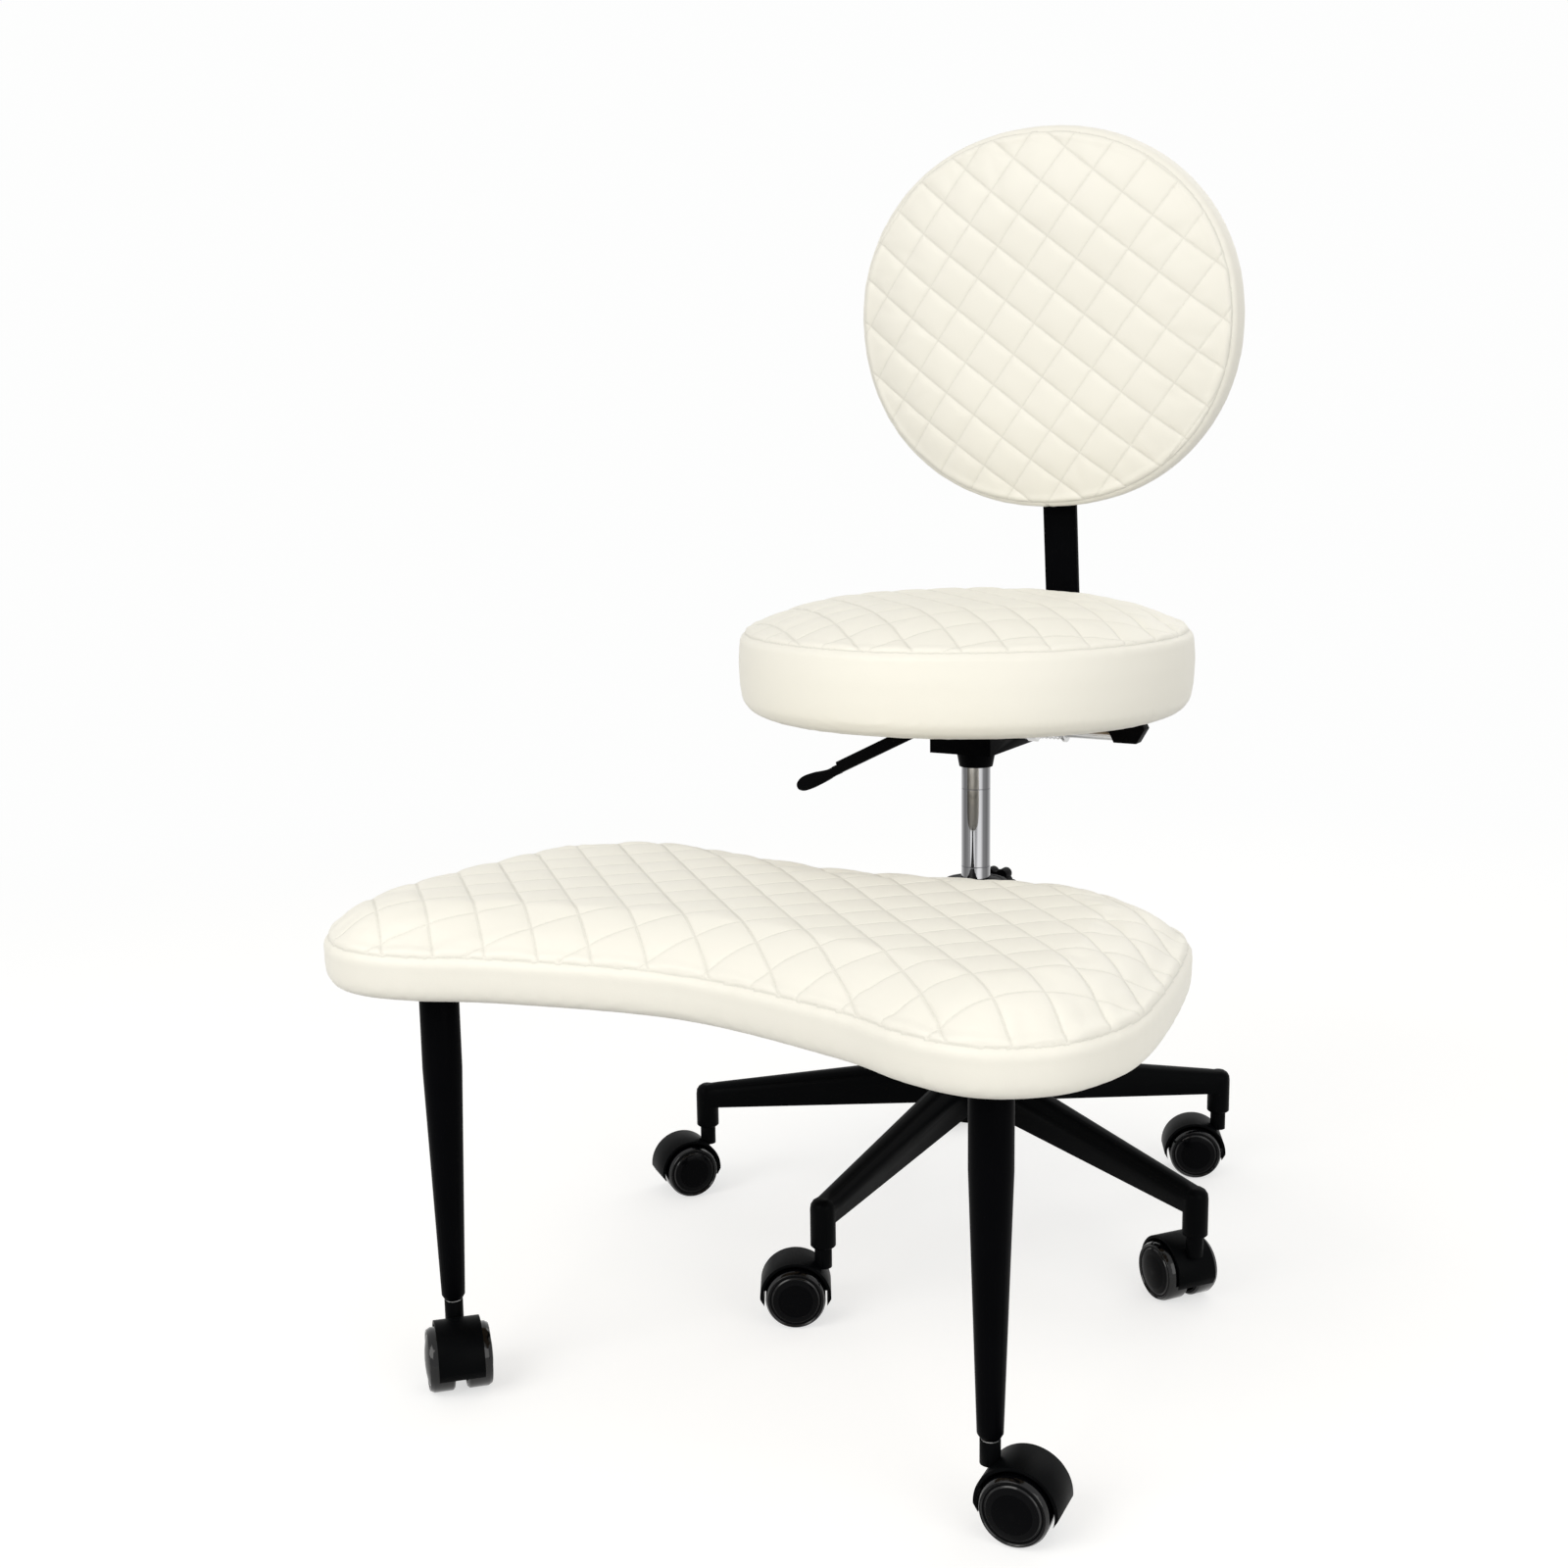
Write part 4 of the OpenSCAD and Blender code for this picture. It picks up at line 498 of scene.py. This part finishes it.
grain_group.links.new(mottle.outputs["Fac"], result.inputs["Mottle"])

leather, tree, skin, spot = new_surface("cream_vinyl_leather")
skin.inputs["IOR"].default_value = 1.46
skin.inputs["Sheen Weight"].default_value = 0.08
skin.inputs["Sheen Roughness"].default_value = 0.5
grain = add_node(tree, "ShaderNodeGroup", node_tree=grain_group)
grain.inputs["Scale"].default_value = 950
tree.links.new(spot, grain.inputs["Vector"])
reads = {}
for key in ("seam_off", "seam_run", "join_off", "quilt_u", "quilt_v"):
    reads[key] = add_node(tree, "ShaderNodeAttribute", attribute_name=key).outputs["Fac"]


def stitched(tree, across, along, thread_width, dent_width):
    """A stitch row at a distance across it and a run along it."""
    row = add_node(tree, "ShaderNodeGroup", node_tree=stitch_group)
    row.inputs["Thread"].default_value = thread_width
    row.inputs["Dent"].default_value = dent_width
    tree.links.new(across, row.inputs["Across"])
    tree.links.new(along, row.inputs["Along"])
    return row


rows = []
for across, along in (("quilt_u", "quilt_v"), ("quilt_v", "quilt_u")):
    nearest = maths(tree, "SUBTRACT", reads[across], maths(tree, "ROUND", reads[across]))
    distance = maths(tree, "MULTIPLY", nearest, quilt_pitch)
    run = maths(tree, "MULTIPLY", reads[along], quilt_pitch)
    rows.append(stitched(tree, distance, run, thread_width=0.00055, dent_width=0.0018))
seam = stitched(tree, maths(tree, "SUBTRACT", reads["seam_off"], 0.0004), reads["seam_run"],
    thread_width=0.0006, dent_width=0.0016)
join = stitched(tree, maths(tree, "SUBTRACT", reads["join_off"], 0.0022), reads["seam_off"],
    thread_width=0.0006, dent_width=0.0016)

# soft masks of the side band and the top panel, on either side of the seam
on_band = maths(tree, "MULTIPLY", maths(tree, "ADD", reads["seam_off"], 0.002), -600.0, clamp=True)
on_top = maths(tree, "MULTIPLY", maths(tree, "SUBTRACT", reads["seam_off"], 0.001), 900.0, clamp=True)
# how strongly the painted shade darkens the quilting's channels and the seams' dents
light_row_shade = 0.45
seam_shade = 1.7
quilt_thread = maths(tree, "MAXIMUM", rows[0].outputs["Mask"], rows[1].outputs["Mask"])
quilt_shade = maths(tree, "MAXIMUM", rows[0].outputs["Shade"],
    maths(tree, "MULTIPLY", rows[1].outputs["Shade"], light_row_shade))
quilt_height = maths(tree, "MINIMUM", rows[0].outputs["Height"], rows[1].outputs["Height"])
thread = maths(tree, "MAXIMUM", maths(tree, "MULTIPLY", quilt_thread, on_top), seam.outputs["Mask"])
thread = maths(tree, "MAXIMUM", thread, maths(tree, "MULTIPLY", join.outputs["Mask"], on_band))
shade = maths(tree, "MAXIMUM", maths(tree, "MULTIPLY", quilt_shade, on_top),
    maths(tree, "MULTIPLY", seam.outputs["Shade"], seam_shade))
shade = maths(tree, "MAXIMUM", shade, maths(tree, "MULTIPLY", join.outputs["Shade"], on_band))
height = maths(tree, "ADD", maths(tree, "MULTIPLY", quilt_height, on_top), seam.outputs["Height"])
height = maths(tree, "ADD", height, maths(tree, "MULTIPLY", join.outputs["Height"], on_band))

# the colours of hide, painted shade in the quilting channels and seam dents, and thread, laid over each other
cream_dark = (0.905, 0.885, 0.800)
cream_pale = (0.925, 0.905, 0.825)
painted_groove_shade = (0.66, 0.645, 0.58)
thread_colour = (0.80, 0.78, 0.70)
painted_shade_strength = 0.36
thread_strength = 0.8
hide = blended(tree, grain.outputs["Mottle"], cream_dark, cream_pale)
# painted shade: the hide darkens towards a grey colour in the channels and dents
hide_under_painted_shade = blended(tree, maths(tree, "MULTIPLY", shade, painted_shade_strength), hide, painted_groove_shade)
sewn = blended(tree, maths(tree, "MULTIPLY", thread, thread_strength), hide_under_painted_shade, thread_colour)
tree.links.new(sewn, skin.inputs["Base Color"])
tree.links.new(maths(tree, "MULTIPLY_ADD", grain.outputs["Mottle"], 0.12, 0.46), skin.inputs["Roughness"])
sew_normal = bumped(tree, height, strength=0.7, distance=0.0007)
grain_normal = bumped(tree, grain.outputs["Height"], strength=0.35, distance=0.00012, under=sew_normal)
tree.links.new(grain_normal, skin.inputs["Normal"])

seat_r = 0.2064
turn = np.linspace(0, 2 * math.pi, 128, endpoint=False)
seat_loop = seat_r * np.stack([np.cos(turn), np.sin(turn)], 1)
seat_pad = stuffed_pad(
    "seat_pad", seat_loop, board_inset=0.0264, board_t=0.0122,
    insets=(0.0140, 0.0040, -0.0016, -0.0038, -0.0046, -0.0034, 0),
    heights=(0, 0.005, 0.013, 0.028, 0.050, 0.064, 0.0755),
    crown=0.0265, roll_in=0.090, quilt_turn=0, voxel=0.0045, swell=0.003, join_share=0.25,
    place=Matrix.Translation((0, -0.027, 0.509)))
seat_pad.data.materials.append(leather)
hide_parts("seat_cushion")
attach(seat_pad, "seat")


# Leg rest cushion. The same foam and quilted vinyl on a kidney-shaped board: hollow in front
# for the feet and behind for the seat, full at its two lobes.
half = np.array([
    (0, 0.833), (0.42, 0.899), (0.61, 0.960), (0.755, 0.980), (0.868, 0.944), (0.964, 0.846),
    (1, 0.65), (0.915, 0.23), (0.806, 0.113), (0.675, 0.037), (0.508, 0.014), (0.26, 0.050), (0, 0.077)])
right_half = half[-2:0:-1] * (-1, 1)
rest_half_w = 0.337
rest_d = 0.398
rest_rear_y = -0.203
rest_outline = np.concatenate([half, right_half]) * (rest_half_w, -rest_d) + (0, rest_rear_y)
rest_loop = smooth_loop(rest_outline, 8)
rest_place = Matrix.Translation((0, 0, 0.341))
rest_pad = stuffed_pad(
    "leg_rest_pad", rest_loop, board_inset=0.020, board_t=0.0122,
    insets=(0.011, 0.0028, -0.0010, -0.0018, -0.0020, -0.0014, 0),
    heights=(0, 0.003, 0.008, 0.015, 0.024, 0.031, 0.038),
    crown=0.0290, roll_in=0.050, quilt_turn=0, voxel=0.0047, swell=0.0025, join_share=0.5,
    place=rest_place)
rest_pad.data.materials.append(leather)
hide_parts("leg_rest_cushion")
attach(rest_pad, "leg_rest")


# Backrest cushion. A thinner quilted pad with a rounded outline, screwed to the clamp on the
# bar and leaning six degrees forward with it.
back_half_w = 0.1940
back_half_h = 0.1790
corner = 2 / 2.1
back_loop = np.stack([
    back_half_w * np.sign(np.cos(turn)) * np.abs(np.cos(turn)) ** corner,
    back_half_h * np.sign(np.sin(turn)) * np.abs(np.sin(turn)) ** corner], 1)
lean = Matrix.Translation((0, 0.190, 0.870)) @ Matrix.Rotation(math.radians(6), 4, "X")
upright = Matrix.Rotation(math.radians(90), 4, "X")
back_place = lean @ Matrix.Translation((0.0015, -0.0061, 0.0035)) @ upright
back_pad = stuffed_pad(
    "backrest_pad", back_loop, board_inset=0.016, board_t=0.0092,
    insets=(0.009, 0.0018, -0.0020, -0.0040, -0.0046, -0.0030, 0),
    heights=(0, 0.003, 0.007, 0.013, 0.021, 0.029, 0.037),
    crown=0.0135, roll_in=0.062, quilt_turn=7, voxel=0.0045, swell=0.0025, join_share=0.75,
    place=back_place)
back_pad.data.materials.append(leather)
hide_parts("backrest_cushion")
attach(back_pad, "backrest")


# Powder-coated steel: the column tube, seat mechanism, bar, clamp, leg rest arm, plates and
# legs. Each is a copy of its CAD solid with the rolled and deburred edges that sheet and tube
# have.
speck_group, given, result = new_group(
    "surface speckle",
    [("Vector", "NodeSocketVector", None), ("Fine", "NodeSocketFloat", 900.0),
     ("Broad", "NodeSocketFloat", 30.0)],
    [("Height", "NodeSocketFloat"), ("Cloud", "NodeSocketFloat")])
fine = add_node(speck_group, "ShaderNodeTexNoise")
fine.inputs["Detail"].default_value = 2
broad = add_node(speck_group, "ShaderNodeTexNoise")
broad.inputs["Detail"].default_value = 5
broad.inputs["Roughness"].default_value = 0.6
speck_group.links.new(given.outputs["Vector"], fine.inputs["Vector"])
speck_group.links.new(given.outputs["Vector"], broad.inputs["Vector"])
speck_group.links.new(given.outputs["Fine"], fine.inputs["Scale"])
speck_group.links.new(given.outputs["Broad"], broad.inputs["Scale"])
speck_group.links.new(fine.outputs["Fac"], result.inputs["Height"])
speck_group.links.new(broad.outputs["Fac"], result.inputs["Cloud"])


def plain_finish(name, dark, pale, rough, rough_spread, fine_scale, depth, metallic=0.0, specular=0.5,
        coat_on=None):
    """A finish of one colour that varies faintly, over a fine surface texture, and that is
    polished where the attribute coat_on says so."""
    material, tree, body, spot = new_surface(name)
    body.inputs["Metallic"].default_value = metallic
    body.inputs["Specular IOR Level"].default_value = specular
    if coat_on:
        polished = add_node(tree, "ShaderNodeAttribute", attribute_name=coat_on)
        tree.links.new(polished.outputs["Fac"], body.inputs["Coat Weight"])
        body.inputs["Coat Roughness"].default_value = 0.08
    speck = add_node(tree, "ShaderNodeGroup", node_tree=speck_group)
    speck.inputs["Fine"].default_value = fine_scale
    tree.links.new(spot, speck.inputs["Vector"])
    cloud = speck.outputs["Cloud"]
    tree.links.new(blended(tree, cloud, dark, pale), body.inputs["Base Color"])
    tree.links.new(maths(tree, "MULTIPLY_ADD", cloud, rough_spread, rough), body.inputs["Roughness"])
    tree.links.new(bumped(tree, speck.outputs["Height"], strength=0.4, distance=depth), body.inputs["Normal"])
    return material


black_paint = plain_finish(
    "black_powder_coat", dark=(0.0009, 0.0010, 0.0014), pale=(0.0019, 0.0020, 0.0026),
    rough=0.34, rough_spread=0.14, fine_scale=1300, depth=0.00008, specular=0.015)
bodies_of = {}
for body_name, members in frame["record"]["behaviour"]["bodies"].items():
    for member in members:
        bodies_of[member] = body_name


weld_distance = 2e-6
sharp_angle = math.radians(33)
smooth_angle = math.radians(32)


def eased_copy(node, edge, material, segments=2):
    """A copy of a CAD solid whose sharp edges are rounded off."""
    form = bmesh.new()
    form.from_mesh(frame["nodes"][node].data)
    bmesh.ops.remove_doubles(form, verts=form.verts, dist=weld_distance)
    bmesh.ops.dissolve_limit(form, angle_limit=math.radians(0.5), verts=form.verts, edges=form.edges)
    sharp = [e for e in form.edges if len(e.link_faces) == 2 and e.calc_face_angle(0) > sharp_angle]
    bmesh.ops.bevel(form, geom=sharp, offset=edge, segments=segments, profile=0.5, affect="EDGES",
        clamp_overlap=True, material=-1)
    mesh = bpy.data.meshes.new(node + "_finished")
    form.to_mesh(mesh)
    form.free()
    mesh.polygons.foreach_set("use_smooth", [True] * len(mesh.polygons))
    mesh.set_sharp_from_angle(angle=smooth_angle)
    mesh.materials.append(material)
    piece = bpy.data.objects.new(node + "_finished", mesh)
    scene.collection.objects.link(piece)
    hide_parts(node)
    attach(piece, bodies_of[node])
    return piece


painted_edges = {
    "column_tube": 0.0006, "mechanism_housing": 0.0007, "back_bar": 0.0008, "back_clamp": 0.0006,
    "leg_rest_arm": 0.0008, "leg_plates": 0.0005, "left_leg": 0.0008, "right_leg": 0.0008,
    "height_lever": 0.0005}
for node, edge in painted_edges.items():
    eased_copy(node, edge, black_paint)


# Moulded nylon: the star base, castor hoods, bushes, grips and knobs, with the soft edges and
# fine spark-eroded texture of their moulds.
black_nylon = plain_finish(
    "black_nylon", dark=(0.0010, 0.0012, 0.0014), pale=(0.0020, 0.0023, 0.0027),
    rough=0.34, rough_spread=0.14, fine_scale=1700, depth=0.0001, specular=0.025)
black_grip = plain_finish(
    "black_grip", dark=(0.0012, 0.0012, 0.0014), pale=(0.0024, 0.0024, 0.0028),
    rough=0.40, rough_spread=0.12, fine_scale=1500, depth=0.00014, specular=0.025)
for node, edge in {"star_base": 0.0012, "guide_bush": 0.0004, "collar_bush": 0.0004}.items():
    eased_copy(node, edge, black_nylon)
grip_edges = {
    "height_lever_grip": 0.002, "recline_handle": 0.0022, "back_knob": 0.0018, "collar_knob": 0.0018}
for node, edge in grip_edges.items():
    eased_copy(node, edge, black_grip, segments=3)


# Twin-wheel castors. Seven alike: a moulded hood over two dished wheels, on a plated stem. The
# wheels' rounded rims are polished and their flat sides are not.
def kept_solid(node, material):
    """Shows a CAD solid as it is, in a material of the scene."""
    solid = frame["nodes"][node].data
    solid.materials.clear()
    solid.materials.append(material)


wheel_nylon = plain_finish(
    "wheel_nylon", dark=(0.0008, 0.0009, 0.0013), pale=(0.0018, 0.0019, 0.0025),
    rough=0.16, rough_spread=0.10, fine_scale=1500, depth=0.00005, specular=0.03, coat_on="rim")
zinc = plain_finish(
    "zinc_plate", dark=(0.60, 0.60, 0.60), pale=(0.72, 0.72, 0.71),
    rough=0.24, rough_spread=0.16, fine_scale=1100, depth=0.00004, metallic=1.0)
flat_side = 0.985
rim_polish = 0.7
for place in ("front", "left", "rear_left", "rear_right", "right", "left_leg", "right_leg"):
    eased_copy(place + "_caster_hood", 0.0009, black_nylon)
    for side in ("left", "right"):
        wheel = eased_copy(place + "_caster_" + side + "_wheel", 0.0006, wheel_nylon).data
        spots = np.array([v.co for v in wheel.vertices])
        axle = np.linalg.svd(spots - spots.mean(axis=0), full_matrices=False)[2][2]
        facing = np.abs(np.array([face.normal for face in wheel.polygons]) @ axle)
        wheel.attributes.new("rim", "FLOAT", "FACE").data.foreach_set(
            "value", np.clip((flat_side - facing) / 0.1, 0, 1) * rim_polish)
    kept_solid(place + "_caster_stem", zinc)


# Gas spring. A polished chromed cylinder with two thin turned marks, painted as dark lines of shade, over the
# CAD solids of the ground piston rod, its bearing and the valve button. The chrome's colour is a painted
# reflection: dark and bright bands by how far it turns away from the view, as round polished tube shows in a
# studio with dark flags.
chrome, tree, metal, spot = new_surface("polished_chrome")
metal.inputs["Metallic"].default_value = 1.0
axes = add_node(tree, "ShaderNodeSeparateXYZ")
tree.links.new(spot, axes.inputs[0])
mark_half_w = 0.0008
marks = 0.0
for mark_z in (0.3527, 0.4287):
    off_mark = maths(tree, "ABSOLUTE", maths(tree, "SUBTRACT", axes.outputs["Z"], mark_z))
    near_mark = maths(tree, "SUBTRACT", 1.0, maths(tree, "DIVIDE", off_mark, mark_half_w), clamp=True)
    marks = maths(tree, "MAXIMUM", near_mark, marks)
speck = add_node(tree, "ShaderNodeGroup", node_tree=speck_group)
tree.links.new(spot, speck.inputs["Vector"])
# painted reflection: a ramp of dark and bright bands, picked by how far the surface turns from the view
painted_reflection_ramp = add_node(tree, "ShaderNodeValToRGB")
ramp = painted_reflection_ramp.color_ramp.elements
painted_reflection_blue = 1.03
painted_reflection_levels = {
    0.0: 0.16, 0.010: 0.20, 0.035: 0.66, 0.075: 0.62, 0.15: 0.19, 0.34: 0.13, 0.62: 0.34, 0.9: 0.62}
for at, level in painted_reflection_levels.items():
    band = ramp.new(at) if at else ramp[0]
    band.color = (level, level, level * painted_reflection_blue, 1)
ramp[-1].color = (0.75, 0.75, 0.77, 1)
turned_away = add_node(tree, "ShaderNodeLayerWeight")
turned_away.inputs["Blend"].default_value = 0.5
tree.links.new(turned_away.outputs["Facing"], painted_reflection_ramp.inputs[0])
# the turned marks are painted dark, as shade in the CAD solid's tiny grooves; they are rougher too
painted_mark_shade = (0.12, 0.12, 0.13)
tree.links.new(blended(tree, marks, painted_reflection_ramp.outputs["Color"], painted_mark_shade), metal.inputs["Base Color"])
haze = maths(tree, "MULTIPLY_ADD", speck.outputs["Cloud"], 0.04, 0.02)
tree.links.new(maths(tree, "MULTIPLY_ADD", marks, 0.3, haze), metal.inputs["Roughness"])
kept_solid("gas_cylinder", chrome)
for node in ("piston_rod", "rod_bearing", "release_button"):
    kept_solid(node, zinc)


# Small steel, bright zinc plated: bolts and pins with chamfered ends, the spring and its nut,
# and pan screws with pressed cross recesses.
plated_edges = {
    "pivot_pins": 0.0004, "seat_bolts": 0.0003, "recline_rod": 0.0003, "recline_spring": 0.0002}
for node, edge in plated_edges.items():
    eased_copy(node, edge, zinc)
screw_edge = 0.00025
head_area = (2.2e-5, 2.8e-5)
cross_blade = (0.0042, 0.0009, 0.0024)
for node in ("back_screws", "leg_rest_screws"):
    screws = eased_copy(node, screw_edge, zinc)
    heads = bmesh.new()
    heads.from_mesh(frame["nodes"][node].data)
    bmesh.ops.remove_doubles(heads, verts=heads.verts, dist=weld_distance)
    bmesh.ops.dissolve_limit(heads, angle_limit=math.radians(1), verts=heads.verts, edges=heads.edges)
    crosses = bmesh.new()
    for face in heads.faces:
        if not head_area[0] < face.calc_area() < head_area[1]:
            continue
        facing = face.normal.to_track_quat("Z", "Y").to_matrix().to_4x4()
        on_head = Matrix.Translation(face.calc_center_median()) @ facing
        for quarter in (45, 135):
            spin = Matrix.Rotation(math.radians(quarter), 4, "Z")
            blade = on_head @ spin @ Matrix.Diagonal((*cross_blade, 1))
            bmesh.ops.create_cube(crosses, size=1, matrix=blade)
    heads.free()
    recess = bpy.data.objects.new("recess", bpy.data.meshes.new("recess"))
    crosses.to_mesh(recess.data)
    crosses.free()
    scene.collection.objects.link(recess)
    cutter = screws.modifiers.new("recess", "BOOLEAN")
    cutter.operation = "DIFFERENCE"
    cutter.solver = "EXACT"
    cutter.use_self = True
    cutter.object = recess
    applied(screws)
    bpy.data.objects.remove(recess)


# Boards. Birch plywood, sanded and left plain, with its grain along X.
plywood, tree, wood, spot = new_surface("birch_plywood")
stretch = add_node(tree, "ShaderNodeMapping")
stretch.inputs["Scale"].default_value = (4, 60, 60)
rings = add_node(tree, "ShaderNodeTexNoise")
rings.inputs["Scale"].default_value = 2.2
rings.inputs["Detail"].default_value = 8
rings.inputs["Distortion"].default_value = 0.4
tree.links.new(spot, stretch.inputs["Vector"])
tree.links.new(stretch.outputs[0], rings.inputs["Vector"])
tone = add_node(tree, "ShaderNodeValToRGB")
tone.color_ramp.elements[0].position = 0.3
tone.color_ramp.elements[0].color = (0.48, 0.33, 0.19, 1)
tone.color_ramp.elements[1].position = 0.7
tone.color_ramp.elements[1].color = (0.66, 0.50, 0.32, 1)
tree.links.new(rings.outputs["Fac"], tone.inputs[0])
tree.links.new(tone.outputs[0], wood.inputs["Base Color"])
tree.links.new(maths(tree, "MULTIPLY_ADD", rings.outputs["Fac"], 0.2, 0.55), wood.inputs["Roughness"])
tree.links.new(bumped(tree, rings.outputs["Fac"], strength=0.3, distance=0.0002), wood.inputs["Normal"])
kept_solid("seat_board", plywood)


def cut_board(name, node, plan, thickness, edge, place, material):
    """A flat board with rounded edges, cut to a plan outline, for the board of that CAD node."""
    form = bmesh.new()
    sheet = form.faces.new([form.verts.new((x, y, 0)) for x, y in plan])
    risen = bmesh.ops.extrude_face_region(form, geom=[sheet])["geom"]
    top_points = [v for v in risen if isinstance(v, bmesh.types.BMVert)]
    bmesh.ops.translate(form, vec=(0, 0, thickness), verts=top_points)
    rims = [e for e in form.edges if len({f for v in e.verts for f in v.link_faces if len(f.verts) > 4}) == 1]
    bmesh.ops.bevel(form, geom=rims, offset=edge, segments=3, profile=0.5, affect="EDGES",
        clamp_overlap=True, material=-1)
    bmesh.ops.recalc_face_normals(form, faces=form.faces)
    form.transform(place)
    mesh = bpy.data.meshes.new(name)
    form.to_mesh(mesh)
    form.free()
    mesh.polygons.foreach_set("use_smooth", [True] * len(mesh.polygons))
    mesh.set_sharp_from_angle(angle=smooth_angle)
    mesh.materials.append(material)
    board = bpy.data.objects.new(name, mesh)
    scene.collection.objects.link(board)
    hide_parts(node)
    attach(board, bodies_of[node])
    return board


cut_board(
    "leg_rest_plywood", "leg_rest_board", drawn_in(rest_loop, 0.0202), thickness=0.012, edge=0.0006,
    place=rest_place, material=plywood)


# Back panel. The backrest's board is covered behind with the same vinyl, glued down smooth and
# tucked in round its edge.
back_panel = cut_board(
    "back_panel", "backrest_board", drawn_in(back_loop, 0.0165), thickness=0.009, edge=0.0024,
    place=back_place, material=leather)
far_from_seams = [-1.0] * len(back_panel.data.vertices)
for key in ("seam_off", "join_off"):
    back_panel.data.attributes.new(key, "FLOAT", "POINT").data.foreach_set("value", far_from_seams)
